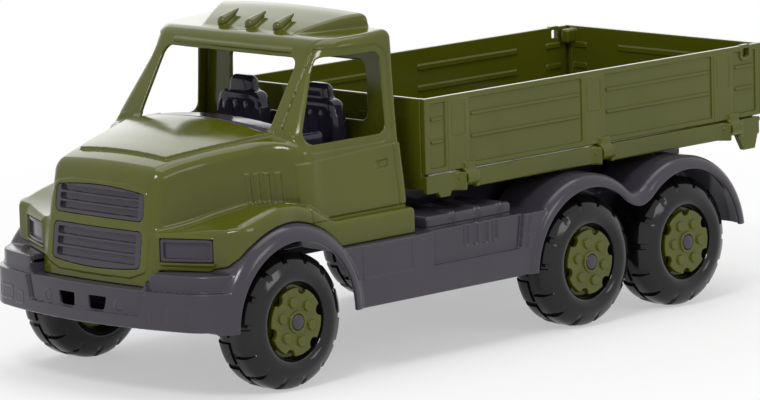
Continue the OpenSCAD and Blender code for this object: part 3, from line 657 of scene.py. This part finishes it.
def side_part(ax, y, z):
    """Mudguards with rolled edges, the skirt between them and the dip between the rear wheels."""
    wheel_f = np.hypot(y - AXLE_F, z - WHEEL_R)
    wheel_m, wheel_r = np.hypot(y - AXLE_M, z - REAR_Z), np.hypot(y - AXLE_R, z - REAR_Z)
    outer = ax - GUARD_X
    front = meet(wheel_f - FRONT_R, outer, 8)
    rear_shape = merge(wheel_m - REAR_R, wheel_r - REAR_R, 10)
    rear = meet(rear_shape, outer, 6)
    skirt_span = slab(y, AXLE_F + 20, AXLE_M - 20)
    skirt = meet(meet(z - DECK_Z, skirt_span), ax - SKIRT_X + skirt_dents(ax, y, z), 1.2)
    side = merge(merge(front, rear), skirt, 0.6)
    side = np.maximum(side, HOUSE_X - 2.5 * step(y, BOGIE_Y, 1) - ax)
    # the walls, which are thicker in the skirt
    skirt_part = step(wheel_f, FRONT_R - 3.4, 2) * step(np.minimum(wheel_m, wheel_r), REAR_R - 3.4, 2)
    shapes = np.minimum(np.minimum(wheel_f - FRONT_R, rear_shape), np.maximum(z - DECK_Z, skirt_span))
    inner = np.maximum(outer + GUARD_WALL + 4 * skirt_part, np.where(y < BOGIE_Y, -9, HOUSE_X - ax))
    side = cut(side, meet(shapes + GUARD_WALL, inner, 5))
    rear_opening = merge(wheel_m - REAR_OPENING_R, wheel_r - REAR_OPENING_R, 17)
    openings = np.minimum(wheel_f - GUARD_R - 1.2, rear_opening)
    side = cut(side, np.maximum(openings, GUARD_X - 9 - ax), 0.8)
    return meet(meet(side, np.minimum(38.5 - z, y - AXLE_R), 0.5), 34.5 - z, 0.5)


def bumper_part(x, ax, y, z):
    """The bowed bumper: a face with ledges behind its upper edges, tow openings and a shelf."""
    arc = np.hypot(x, y - (FRONT_Y + BOW_R)) - BOW_R
    plan = meet(arc, ax - (GUARD_X - 1.2), 19)
    face = plan + bumper_dents(ax, z)
    top = outline(ax, z, [(-99, 35.5), (99, 35.5), (99, 63), (44.5, 63), (40.5, 54.7), (-99, 54.7)], 1.5)
    top = np.minimum(top, outline(ax, z, rect(-99, 35.5, 99, 40), 0))
    shell = meet(np.maximum(face, -(plan + 3.2 + 2.6 * step(z, 52.5, 1.0))), top, 1.1)
    in_notch = ax < NOTCH_X
    ledge_depth = y - FRONT_Y - np.where(in_notch, 17, 30)
    ledge = meet(meet(plan + np.where(in_notch, 1.6, 5), ledge_depth), top, 1.1)
    shell = np.minimum(shell, np.maximum(ledge, np.where(in_notch, 52.2, 60.5) - z))
    shell = np.maximum(shell, y - BUMPER_END)
    tow = outline(ax, z, [(5.6, 42.7), (15.4, 42.7), (17.3, 49.2), (5.1, 49.2)], 0.6)
    shell = cut(shell, np.maximum(tow, y - FRONT_Y - 8), 0.4)
    shelf = np.maximum(np.maximum(plan + 1.6, slab(z, 38.5, 41)), y - (BUMPER_END - 9))
    return np.minimum(shell, shelf)


def chassis_field(x, y, z):
    """The chassis: bumper, sides, frame and tank."""
    ax = np.abs(x)
    body = merge(bumper_part(x, ax, y, z), side_part(ax, y, z), 1)
    parts = [
        block(ax, y, z, (RAIL_X - 2.5, BUMPER_END - 1, DECK_Z - 8), (RAIL_X, BOGIE_Y + 1, 65.5), 0.4),
        block(ax, y, z, (RAIL_X - 2.5, BOGIE_Y, 42), (RAIL_X, DECK_END, 65.5), 0.4),
        block(ax, y, z, (37.5, BUMPER_END - 10, 42), (40, BUMPER_END, 65.5), 0.4),
        block(ax, y, z, (36.5, BED_LOW[1] + 4, 65), (39, BED_HIGH[1] - 29.6, 88.3), 0.4),
        block(ax, y, z, (-9, BUMPER_END - 1, DECK_Z - 2.5), (HOUSE_X + 0.5, DECK_END, DECK_Z), 0.5),
        block(ax, y, z, (-9, BUMPER_END - 10, DECK_Z - 2.5), (40, BUMPER_END, DECK_Z), 0.5),
        block(ax, y, z, (-9, BUMPER_END - 10, 39.5), (40, BUMPER_END - 7.5, 65.5), 0.5),
    ]
    # bearing tubes, the blocks above them and a cross rib behind each axle
    for axle in AXLE_Y.values():
        from_axle = np.hypot(y - axle, z - WHEEL_R)
        parts.append(meet(from_axle - 6, slab(ax, RAIL_X - 10, TYRE_X - TYRE_W - 0.4), 0.6))
        parts.append(block(ax, y, z, (RAIL_X - 9, axle - 5, WHEEL_R), (RAIL_X - 1, axle + 5, 65.5), 0.5))
        parts.append(block(ax, y, z, (-9, axle + 9, 43), (RAIL_X - 1, axle + 11.5, 65.5), 0.5))
    for part in parts:
        body = np.minimum(body, part)
    # tank on the shelf behind the cab
    tank = block(ax, y, z, (HOUSE_X - 6, -50, DECK_Z - 1), (78, 12, 72.6), 2.4)
    for ring in TANK_RINGS:
        for offset in (-1.3, 1.3):
            tank = tank - 0.9 * (1 - step(np.abs(y - ring - offset), 0.55, 0.8))
    body = merge(body, tank, 0.3)
    for axle in AXLE_Y.values():
        body = np.maximum(body, 2.1 - np.hypot(y - axle, z - WHEEL_R))
    return body


# ---------------------------------------------------------------- cab interior
SEAT_X, SEAT_Y = 27.3, CAB_REAR - 7
FLOOR_X, FLOOR_Z = 69, DECK_Z + 0.4
RIB_PITCH = 7.6


def interior_field(x, y, z):
    """Floor, dashboard and two seats in one piece."""
    ax = np.abs(x)
    parts = block(ax, y, z, (-9, -108, FLOOR_Z), (FLOOR_X, SEAT_Y + 3, FLOOR_Z + 2), 0.5)
    riser = block(ax, y, z, (-9, -108, FLOOR_Z), (FLOOR_X - 5, -105.6, 104), 0.5)
    parts = np.minimum(parts, riser)
    # dashboard, whose front edge follows the windscreen's foot
    foot = SCREEN_Y + 2.6 + SCREEN_BOW * ax ** 2
    dash = meet(meet(foot - y, y + 104, 2), slab(z, 100, 126.9 - 0.0016 * ax ** 2), 1.6)
    dash = meet(dash, ax - 60.5, 2)
    dash = cut(dash, meet(outline(y, z, [(-119, 111), (-100, 111), (-100, 130), (-115, 130)], 2), ax - 57), 1)
    parts = merge(parts, dash, 1)
    # seats
    u = ax - SEAT_X
    cushion = block(u, y, z, (-17.5, SEAT_Y - 38, FLOOR_Z), (17.5, SEAT_Y - 6, FLOOR_Z + 24), 4)
    lean = (z - 110) * 0.05
    width = curve(z, [60, 92, 112, 126, 133], [15.5, 16.5, 16.2, 15.2, 13.5])
    back = meet(slab(y + lean, SEAT_Y - 13, SEAT_Y - 1.2), z - 132.6, 3.5)
    back = meet(back, np.abs(u) - width, 4.5)
    waves = np.cos(np.clip(np.abs(u), 0, 15) * 2 * math.pi / RIB_PITCH)
    ribs = 0.9 * waves * (1 - step(z, 126, 4)) * step(z, 84, 4)
    back = back - np.where(y < SEAT_Y - 6, ribs, 0) * 0.8
    head = meet(slab(y + lean, SEAT_Y - 10.5, SEAT_Y - 1.6), np.abs(u) - (8.8 - (z - 131) * 0.12), 3.6)
    head = meet(head, slab(z, 122, 140.4), 4)
    seat = merge(merge(cushion, back, 2), head, 1.2)
    return merge(parts, seat, 1)


# ---------------------------------------------------------------- wheels
LUGS = 14
LUG_SHARE = 0.8  # of the way from one lug to the next
LUG_H = 1.4
TREAD_R = WHEEL_R - 1.45  # bottom of the grooves
SHOULDER_R = 10.2
HUB_FACE = TYRE_X - 1.5


def tyre_section():
    """Radius, distance from the middle and share of the lug height along half of a tyre's section."""
    half = TYRE_W / 2
    flat = half - 10.3  # where the shoulder begins
    section = [(TREAD_R - 0.5, 0, 0), (TREAD_R, 0.7, 0), (TREAD_R, 0.95, 0), (TREAD_R, 1.15, 1)]
    section += [(TREAD_R, 1.15 + (flat - 1.15) * k / 4, 1) for k in range(1, 5)]
    for k in range(1, 13):
        a = math.radians(90 - 6.6 * k)
        r, h = TREAD_R - SHOULDER_R + SHOULDER_R * math.sin(a), flat + SHOULDER_R * math.cos(a)
        section.append((r, h, 1 if k < 4 else max(0.0, 1 - (k - 3) / 6)))
    section += [(r, half - inward, 0) for r, inward in (
        (23.2, 0.05), (21.4, 0.5), (20.2, 1.3), (19.3, 2.4), (18.8, 3.8), (18.65, 5.4), (18.65, 8))]
    return np.array(section)


def tyre(name, y, side):
    """Blow-moulded tyre with two staggered rows of lugs that wrap over its shoulders."""
    section = tyre_section()
    tangent = np.gradient(section[:, :2], axis=0)
    normal = np.stack([tangent[:, 1], -tangent[:, 0]], 1)
    normal /= np.linalg.norm(normal, axis=1, keepdims=True)
    normal[:6] = (1, 0)
    fractions = sorted({round(f, 4) for edge in (0, 0.3, 0.5, LUG_SHARE) for f in ((edge - 0.014) % 1, edge + 0.014)}
                       | {0.08, 0.15, 0.22, 0.4, 0.58, 0.65, 0.72, 0.9})
    angles = np.array([(k + f) / LUGS for k in range(LUGS) for f in fractions]) * 2 * math.pi
    rows = []
    for shift in (0, 0.5):
        share = (angles * LUGS / (2 * math.pi) + shift) % 1
        raised = ((share > 0) & (share < LUG_SHARE)).astype(float)
        lugs = normal[:, None, :] * (LUG_H * section[:, 2])[:, None, None] * raised[None, :, None]
        rows.append(section[:, None, :2] + lugs)
    last = len(section) - 1
    rings = [(-1, rows[1][i]) for i in range(last, 0, -1)] + [(1, rows[0][i]) for i in range(last + 1)]
    middle = side * (TYRE_X - TYRE_W / 2)
    vertices = []
    for direction, ring in rings:
        r, h = ring[:, 0], ring[:, 1] * direction
        vertices.append(np.stack([middle + side * h, y + r * np.cos(angles), WHEEL_R + r * np.sin(angles)], 1))
    n, count = len(angles), len(rings)
    faces = []
    for i in range(count):
        j = (i + 1) % count
        for k in range(n):
            m = (k + 1) % n
            quad = (i * n + k, i * n + m, j * n + m, j * n + k)
            faces.append(quad if side > 0 else quad[::-1])
    mesh = bpy.data.meshes.new(name)
    mesh.from_pydata((np.concatenate(vertices) * MM).tolist(), [], faces)
    mesh.update()
    mesh.shade_smooth()
    mesh.materials.append(BLACK)
    mesh.set_sharp_from_angle(angle=math.radians(38))
    return linked(name, mesh)


def hub_field(x, y, z):
    """A hub with its axle along X and its outer face at X = 0, pointing to +X."""
    r = np.hypot(y, z)
    turn = np.arctan2(z, y)
    sector = 2 * math.pi / 6  # from one bolt or notch to the next
    near_bolt = (turn + sector / 2) % sector - sector / 2
    near_notch = turn % sector - sector / 2
    disc = meet(r - 17.1, slab(x, -3, 0), 0.7)
    notch = np.hypot(r * np.cos(near_notch) - 17.0, r * np.sin(near_notch)) - 2.9
    disc = cut(disc, notch, 0.5)
    bolt = np.hypot(r * np.cos(near_bolt) - 10.3, r * np.sin(near_bolt))
    bolt = meet(bolt - 2.75 + np.clip(x, 0, 2) * 0.12, slab(x, -1, 1.35), 0.45)
    cup = meet(r - 18.5, slab(x, -22, -5.5), 0.6)
    boss = meet(r - 6, slab(x, -22, -1), 0.3)
    body = np.minimum(np.minimum(disc, bolt), np.minimum(cup, boss))
    ring = meet(np.abs(r - 4.9) - 0.7, slab(x, -1, 1.1), 0.3)
    body = merge(body, ring, 0.3)
    return np.maximum(body, 2.05 - r)


def cap(name, y, side):
    """The round cover in the middle of a hub."""
    section = [(0.01, -0.8), (3.5, -0.8), (3.5, 0), (3.7, 0), (3.9, 0.35), (3.9, 0.8), (3.6, 1.3), (3.1, 1.5),
               (0.01, 1.3)]
    bm = bmesh.new()
    turned_mesh(bm, [(r, side * h) for r, h in section], (side * HUB_FACE, y, WHEEL_R), steps=40)
    bmesh.ops.scale(bm, vec=(MM, MM, MM), verts=bm.verts)
    bmesh.ops.recalc_face_normals(bm, faces=bm.faces)
    mesh = bpy.data.meshes.new(name)
    bm.to_mesh(mesh)
    bm.free()
    mesh.shade_smooth()
    mesh.set_sharp_from_angle(angle=math.radians(40))
    mesh.materials.append(CHARCOAL)
    return linked(name, mesh)


# ---------------------------------------------------------------- load bed
BOARD_X = GUARD_X - 16
BOARD_T = 2.5
BOARD_Z = 92.6
TOP_Z = HEAD_HIGH[2]
BED_FRONT = BED_LOW[1]
BED_Z = BED_HIGH[2]
BED_L = 258
FLOOR_RIBS = 4
GATE_OUT = GATE_HIGH[1]
GATE_Y = GATE_OUT - 3
HINGE_X, HINGE_Z, KNUCKLE_R, KNUCKLE_L = BOARD_X + 1, BOARD_Z - 4.6, 4.2, 8.5
BORE_R, PIN_R = 1.56, 1.5
HINGES = (BED_FRONT + 26.5, BED_FRONT + 128.5, GATE_Y - 27.5)
GATE_HINGES = (-BOARD_X * 0.66 + BOARD_X, BOARD_X * 0.66 - KNUCKLE_L + BOARD_X)
POST_LEAD, POST_W = 10, 14.5
RIB_Z = ((107.6, 109.4), (119.2, 121.0))


def board_field(length, posts, latch):
    """A board that runs along u, with its outer face at w = 0 and w growing outward."""
    edge, post_gap = 3.2, 1.6
    starts = [edge] + [p + POST_W + post_gap for p in posts]
    ends = [p - post_gap for p in posts] + [length - edge]
    spans = [(a, b) for a, b in zip(starts, ends) if b - a >= 4]

    def field(u, w, z):
        plate = meet(meet(slab(u, 0, length), slab(z, BOARD_Z, TOP_Z), 0.5), slab(w, -BOARD_T, 0.55), 0.45)
        for a, b in spans:
            panel = outline(u, z, rect(a, BOARD_Z + 2.6, b, TOP_Z - 3), 0.6)
            plate = cut(plate, meet(panel, -w - 0.35), 0.3)
            for low, high in RIB_Z:
                bead = outline(u, z, rect(a + 1.6, low, b - 1.6, high), 0.8)
                plate = np.minimum(plate, meet(bead, slab(w, -1.4, 0.45), 0.3))
                back = outline(u, z, rect(a + 3, low + 0.3, b - 3, high + 1.5), 0.8)
                plate = merge(plate, meet(back, slab(w, -BOARD_T - 0.9, -1.4), 0.4), 0.3)
        for p in posts:
            post = outline(u, z, rect(p, BOARD_Z, p + POST_W, TOP_Z - 2.2), 0.5)
            plate = np.minimum(plate, meet(post, slab(w, -1.2, 0.8), 0.35))
            mark = outline(u, z, rect(p + 2.2, 110, p + POST_W - 2.2, TOP_Z - 5), 0.4)
            plate = plate + np.where(w > 0.2, line_dent(mark, 0.7, 0.35), 0)
        if latch:
            hole = outline(u, z, rect(length - 13.1, TOP_Z - 6, length - 8.1, TOP_Z - 1.5), 0.4)
            collar = meet(hole - 2, slab(w, -BOARD_T, 0.75), 0.3)
            plate = cut(np.minimum(plate, collar), hole, 0.2)
        return plate
    return field


SIDE_POSTS = [h - POST_LEAD - BED_FRONT for h in HINGES]
side_plain = board_field(GATE_Y - 0.4 - BED_FRONT, SIDE_POSTS, True)


def side_board_field(x, y, z):
    """A side board with its barrels around the bed's pins."""
    u, w = y - BED_FRONT, x - BOARD_X
    from_pin = np.hypot(w - 1, z - HINGE_Z)
    knuckles = np.full(np.shape(u), 1e3)
    for hinge in HINGES:
        a = hinge - BED_FRONT
        barrel = meet(from_pin - KNUCKLE_R, slab(u, a, a + KNUCKLE_L), 0.5)
        tab = meet(slab(u, a + 0.4, a + KNUCKLE_L - 0.4), slab(z, HINGE_Z, BOARD_Z + 3.6), 0.8)
        tab = meet(tab, slab(w, -BOARD_T, 2.6), 1.2)
        knuckles = np.minimum(knuckles, np.maximum(merge(barrel, tab, 1), BORE_R - from_pin))
    return merge(side_plain(u, w, z), knuckles, 0.8)


gate_plain = board_field(2 * BOARD_X, [g - 3 for g in GATE_HINGES], False)


def tailgate_field(x, y, z):
    """The tailgate with its barrels, and the knobs that reach inside the side boards."""
    u, w = x + BOARD_X, y - GATE_OUT + 0.8
    plate = gate_plain(u, w, z)
    from_pin = np.hypot(y - (GATE_OUT - KNUCKLE_R), z - HINGE_Z)
    for a in GATE_HINGES:
        barrel = meet(from_pin - KNUCKLE_R, slab(u, a, a + KNUCKLE_L), 0.5)
        tab = meet(slab(u, a + 0.4, a + KNUCKLE_L - 0.4), slab(z, HINGE_Z, BOARD_Z + 3), 0.8)
        tab = meet(tab, slab(y, GATE_OUT - KNUCKLE_R, GATE_OUT), 0.6)
        plate = merge(plate, np.maximum(merge(barrel, tab, 0.8), BORE_R - from_pin), 0.6)
    inner = BOARD_X - BOARD_T
    knob = block(np.abs(x), y, z, (inner - 6.8, GATE_Y - 8, TOP_Z - 9), (inner - 1.2, GATE_Y + 1, TOP_Z - 1.2), 1.6)
    arm = block(np.abs(x), y, z, (inner - 5, GATE_Y - 2.5, BOARD_Z + 3), (inner - 2, GATE_Y + 1, TOP_Z - 5), 0.8)
    return merge(plate, merge(knob, arm, 0.8), 0.8)


def headboard_field(x, y, z):
    """The front board, with ribs on its inner face and a strip at each end."""
    ax = np.abs(x)
    half = BOARD_X - BOARD_T - 0.4
    inner_y = BED_FRONT + BOARD_T
    plate = block(ax, y, z, (-9, BED_FRONT, HEAD_LOW[2]), (half, inner_y, TOP_Z), 0.5)
    for low, high in RIB_Z:
        for a, b in ((-9, 20), (24, half - 8)):
            bead = block(ax, y, z, (a, BED_FRONT, low), (b, inner_y + 0.8, high + 1), 0.7)
            plate = merge(plate, bead, 0.3)
    strip = block(ax, y, z, (half - 5, BED_FRONT + 1, HEAD_LOW[2]), (half, inner_y + 3, TOP_Z - 0.4), 0.7)
    return merge(plate, strip, 0.4)


def bed_field(x, y, z):
    """The bed: floor, rails, hinge ears and pins, ribs and feet."""
    ax = np.abs(x)
    rail_low, edge = BED_Z - 9.9, BED_Z - 0.5
    rail_x = slab(ax, HINGE_X - 3, HINGE_X)
    rail_z = slab(z, rail_low, edge)
    body = block(ax, y, z, (-9, BED_FRONT, BED_Z - 3), (HINGE_X, GATE_Y - 0.4, edge), 0.5)
    panel = block(ax, y, z, (-9, BED_FRONT + 6, BED_Z - 2), (67.5, GATE_Y - 1.4, BED_Z), 0.3)
    body = np.minimum(body, panel)
    # rails along the sides, at the front and at the rear
    rail = meet(meet(rail_x, rail_z, 0.6), slab(y, BED_FRONT, GATE_Y - 1.4), 0.6)
    front = meet(slab(y, BED_FRONT, BED_FRONT + 3), slab(z, rail_low + 2, edge), 0.6)
    rear_y = GATE_OUT - KNUCKLE_R
    rear = meet(slab(y, rear_y - 3, rear_y), rail_z, 0.6)
    body = np.minimum(np.minimum(body, rail),
                      np.minimum(meet(front, ax - HINGE_X, 1.5), meet(rear, ax - HINGE_X, 0.6)))
    from_pin = np.hypot(ax - HINGE_X, z - HINGE_Z)
    for h in HINGES:
        flare = np.clip((y - (h - 8)) / 7.6, 0, 1)
        ear = meet(ax - (HINGE_X - 1.5 + 5.6 * flare ** 1.3), HINGE_X - 3 - ax)
        ear = meet(ear, slab(y, h - 8.6, h - 0.4), 0.8)
        ear = meet(ear, slab(z, rail_low - 0.6 * flare, edge - 0.4), 1)
        body = merge(body, ear, 0.8)
        slot = meet(slab(y, h - 0.4, h + KNUCKLE_L + 0.4), HINGE_X - KNUCKLE_R - 1 - ax)
        body = cut(body, np.maximum(slot, rail_low - 2 - z), 0.4)
        body = np.minimum(body, meet(from_pin - PIN_R, slab(y, h - 4, h + KNUCKLE_L + 2)))
        lip = meet(meet(slab(ax, HINGE_X - 2, HINGE_X + 0.9), slab(z, rail_low, edge - 0.2), 0.5),
                   slab(y, h + KNUCKLE_L + 0.4, h + KNUCKLE_L + 3.6), 0.8)
        body = merge(body, lip, 0.4)
    for k in range(1, FLOOR_RIBS + 1):
        rib_y = BED_FRONT + k * BED_L / (FLOOR_RIBS + 1)
        rib = block(ax, y, z, (-9, rib_y, rail_low + 3), (HINGE_X - 2, rib_y + 2, BED_Z - 1), 0.4)
        body = np.minimum(body, rib)
    # rear corners and front feet, which hang below the rails
    low = rail_low + 2
    hang = [(GATE_Y - 14.5, rail_low - 7.5), (GATE_Y - 5, rail_low - 7.5), (GATE_Y - 2, low), (GATE_Y - 20, low)]
    foot = [(BED_FRONT + 10, rail_low - 2.6), (BED_FRONT + 17, rail_low - 2.6), (BED_FRONT + 19.5, low),
            (BED_FRONT + 7, low)]
    for points in (hang, foot):
        body = np.minimum(body, meet(outline(y, z, points, 0.8), rail_x, 0.5))
    for g in GATE_HINGES:
        gx = g - BOARD_X
        slot = meet(slab(x, gx - 0.4, gx + KNUCKLE_L + 0.4), rear_y - KNUCKLE_R - 1 - y)
        pin = meet(np.hypot(y - rear_y, z - HINGE_Z) - PIN_R, slab(x, gx - 3, gx + KNUCKLE_L + 3))
        body = np.minimum(cut(body, np.maximum(slot, rail_low - 2 - z), 0.3), pin)
    # grooves under the floor for the chassis' two bed carriers
    carriers = meet(slab(ax, 36.2, 39.3), slab(y, BED_FRONT + 3.5, GATE_Y - 29))
    return np.maximum(body, -np.maximum(carriers, z - (BED_Z - 3)))


# ---------------------------------------------------------------- make the pieces
def add(piece, body, node_name):
    """Puts a piece on its body and hides the CAD node that it stands in for."""
    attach(piece, body)
    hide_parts(node_name)


cab = surface("cab", cab_field, (-84, -214, 50), (84, -56, 184), 0.62, OLIVE, 0.24)
add(cab, "root", "cab_shell")
undercarriage = surface("undercarriage", chassis_field, (-90, -221, 25), (90, 190, 92), 0.8, CHARCOAL, 0.19)
add(undercarriage, "root", "chassis")
interior = surface("seats_and_dash", interior_field, (-73, -134, 64), (73, -60, 144), 0.75, NAVY, 0.3)
add(interior, "root", "cab_interior")
for label, points, slots in (("upper", GRILLES[0], SLOTS[0]), ("lower", GRILLES[1], SLOTS[1])):
    low_z = min(z for _, z in points)
    panel = surface("grille_panel_" + label, grille_field(points, slots), (-34, -211, low_z - 2),
                    (34, -194, low_z + 24), 0.45, CHARCOAL, 0.5)
    add(panel, "root", "grille_" + label)
for label, side in SIDES:
    lamp = surface("headlamp_lens_" + label, lambda x, y, z, s=side: lamp_field(x * s, y, z),
                   (min(38 * side, 72 * side), -206, 66), (max(38 * side, 72 * side), -182, 82), 0.45,
                   CHARCOAL, 0.5)
    add(lamp, "root", "headlamp_" + label)

bed = surface("bed", bed_field, (-79, -46, 71), (79, 217, 94), 0.8, OLIVE, 0.3)
add(bed, "root", "bed_floor")
front_board = surface("bed_front_board", headboard_field, (-71, -46, 88), (71, -34, 133), 0.6, OLIVE, 0.4)
add(front_board, "root", "headboard")
for label, side in SIDES:
    board = surface("board_" + label, lambda x, y, z, s=side: side_board_field(x * s, y, z),
                    (min(66 * side, 78 * side), -46, 82), (max(66 * side, 78 * side), 217, 134), 0.55,
                    OLIVE, 0.3)
    add(board, "board_" + label, "side_board_" + label)
gate_board = surface("gate_board", tailgate_field, (-73, 204, 82), (73, 220, 134), 0.55, OLIVE, 0.3)
add(gate_board, "gate", "tailgate")

HUB_ROLL = {"front": math.radians(-16), "middle": math.radians(-16), "rear": 0}
hub_master = surface("hub_master", hub_field, (-23, -19, -19), (3, 19, 19), 0.42, OLIVE, 0.25)
for axle, y in AXLE_Y.items():
    for label, side in SIDES:
        place = f"{axle}_{label}"
        body = "wheel_" + place
        add(tyre("tyre_skin_" + place, y, side), body, "tyre_" + place)
        hub = linked("hub_disc_" + place, hub_master.data.copy())
        turn = Matrix.Rotation(0 if side > 0 else math.pi, 4, "Z")
        roll = Matrix.Rotation(HUB_ROLL[axle], 4, "X")
        hub.data.transform(Matrix.Translation((side * HUB_FACE * MM, y * MM, WHEEL_R * MM)) @ roll @ turn)
        add(hub, body, "hub_" + place)
        add(cap("hub_cap_" + place, y, side), body, "cap_" + place)
bpy.data.objects.remove(hub_master)
for axle in AXLE_Y:
    for material_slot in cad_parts["axle_" + axle].material_slots:
        material_slot.link = "OBJECT"
        material_slot.material = STEEL


# ---------------------------------------------------------------- floor, light and camera
def backdrop_material():
    """A white studio floor that keeps soft shadows near the truck."""
    mat = bpy.data.materials.new("floor_white")
    tree = new_tree(mat)
    out = node(tree, "OutputMaterial")
    mix = node(tree, "MixShader")
    diffuse = node(tree, "BsdfDiffuse", {"Color": (0.9, 0.9, 0.9, 1)})
    white = node(tree, "Emission", {"Color": (1, 1, 1, 1)})
    geometry = node(tree, "NewGeometry")
    distance = node(tree, "VectorMath", operation="LENGTH")
    spread = node(tree, "MapRange", {"From Min": 0.2, "From Max": 0.7, "To Min": 0.45})
    link = tree.links.new
    link(geometry.outputs["Position"], distance.inputs[0])
    link(distance.outputs["Value"], spread.inputs["Value"])
    link(spread.outputs["Result"], mix.inputs["Fac"])
    link(diffuse.outputs["BSDF"], mix.inputs[1])
    link(white.outputs["Emission"], mix.inputs[2])
    link(mix.outputs["Shader"], out.inputs["Surface"])
    return mat


def white_world():
    """Soft light from all round, seen as plain white by the camera and in reflections."""
    world = bpy.data.worlds.new("studio")
    bpy.context.scene.world = world
    tree = new_tree(world)
    out = node(tree, "OutputWorld")
    mix = node(tree, "MixShader")
    rays = node(tree, "LightPath")
    seen = node(tree, "Math", operation="MAXIMUM")
    seen_more = node(tree, "Math", operation="MAXIMUM")
    ambient = node(tree, "Background", {"Color": (1, 1, 1, 1), "Strength": 0.5})
    white = node(tree, "Background", {"Color": (1, 1, 1, 1), "Strength": 1})
    link = tree.links.new
    link(rays.outputs["Is Camera Ray"], seen.inputs[0])
    link(rays.outputs["Is Glossy Ray"], seen.inputs[1])
    link(seen.outputs[0], seen_more.inputs[0])
    link(rays.outputs["Is Transmission Ray"], seen_more.inputs[1])
    link(seen_more.outputs[0], mix.inputs["Fac"])
    link(ambient.outputs["Background"], mix.inputs[1])
    link(white.outputs["Background"], mix.inputs[2])
    link(mix.outputs["Shader"], out.inputs["Surface"])


def soft_light(name, place, target, size, power):
    """A square lamp that points at a target."""
    data = bpy.data.lights.new(name, "AREA")
    data.shape = "RECTANGLE"
    data.size = data.size_y = size
    data.energy = power
    lamp = linked(name, data)
    lamp.location = place
    lamp.rotation_euler = (Vector(target) - Vector(place)).to_track_quat("-Z", "Y").to_euler()


bm = bmesh.new()
bmesh.ops.create_grid(bm, x_segments=1, y_segments=1, size=6)
floor_mesh = bpy.data.meshes.new("floor")
bm.to_mesh(floor_mesh)
bm.free()
floor_mesh.materials.append(backdrop_material())
linked("floor", floor_mesh)

soft_light("key", (0.5, -1.1, 1.3), (0, -0.05, 0.08), 0.35, 8)
soft_light("side", (1.5, 0.3, 0.8), (0, 0, 0.08), 0.5, 3)
soft_light("back", (-1.25, 1.05, 0.85), (0, 0, 0.08), 1.2, 5)
soft_light("top", (-0.1, 0.3, 1.9), (0, 0, 0.05), 1.4, 13)
white_world()

camera_data = bpy.data.cameras.new("camera")
camera_data.lens = 253.8
camera_data.sensor_width = 36
camera_data.clip_end = 50
camera = linked("camera", camera_data)
azimuth, elevation, roll = math.radians(45.04), math.radians(9.08), math.radians(-1.589)
level = math.cos(elevation)
back = Vector((math.sin(azimuth) * level, -math.cos(azimuth) * level, math.sin(elevation)))
right = Vector((math.cos(azimuth), math.sin(azimuth), 0))
up = back.cross(right)
across = right * math.cos(roll) + up * math.sin(roll)
upward = -right * math.sin(roll) + up * math.cos(roll)
turned = Matrix((across, upward, back)).transposed().to_4x4()
camera.matrix_world = Matrix.Translation((1.949, -1.9518, 0.5084)) @ turned

scene = bpy.context.scene
scene.camera = camera
scene.view_settings.view_transform = "Standard"

bpy.context.view_layer.update()
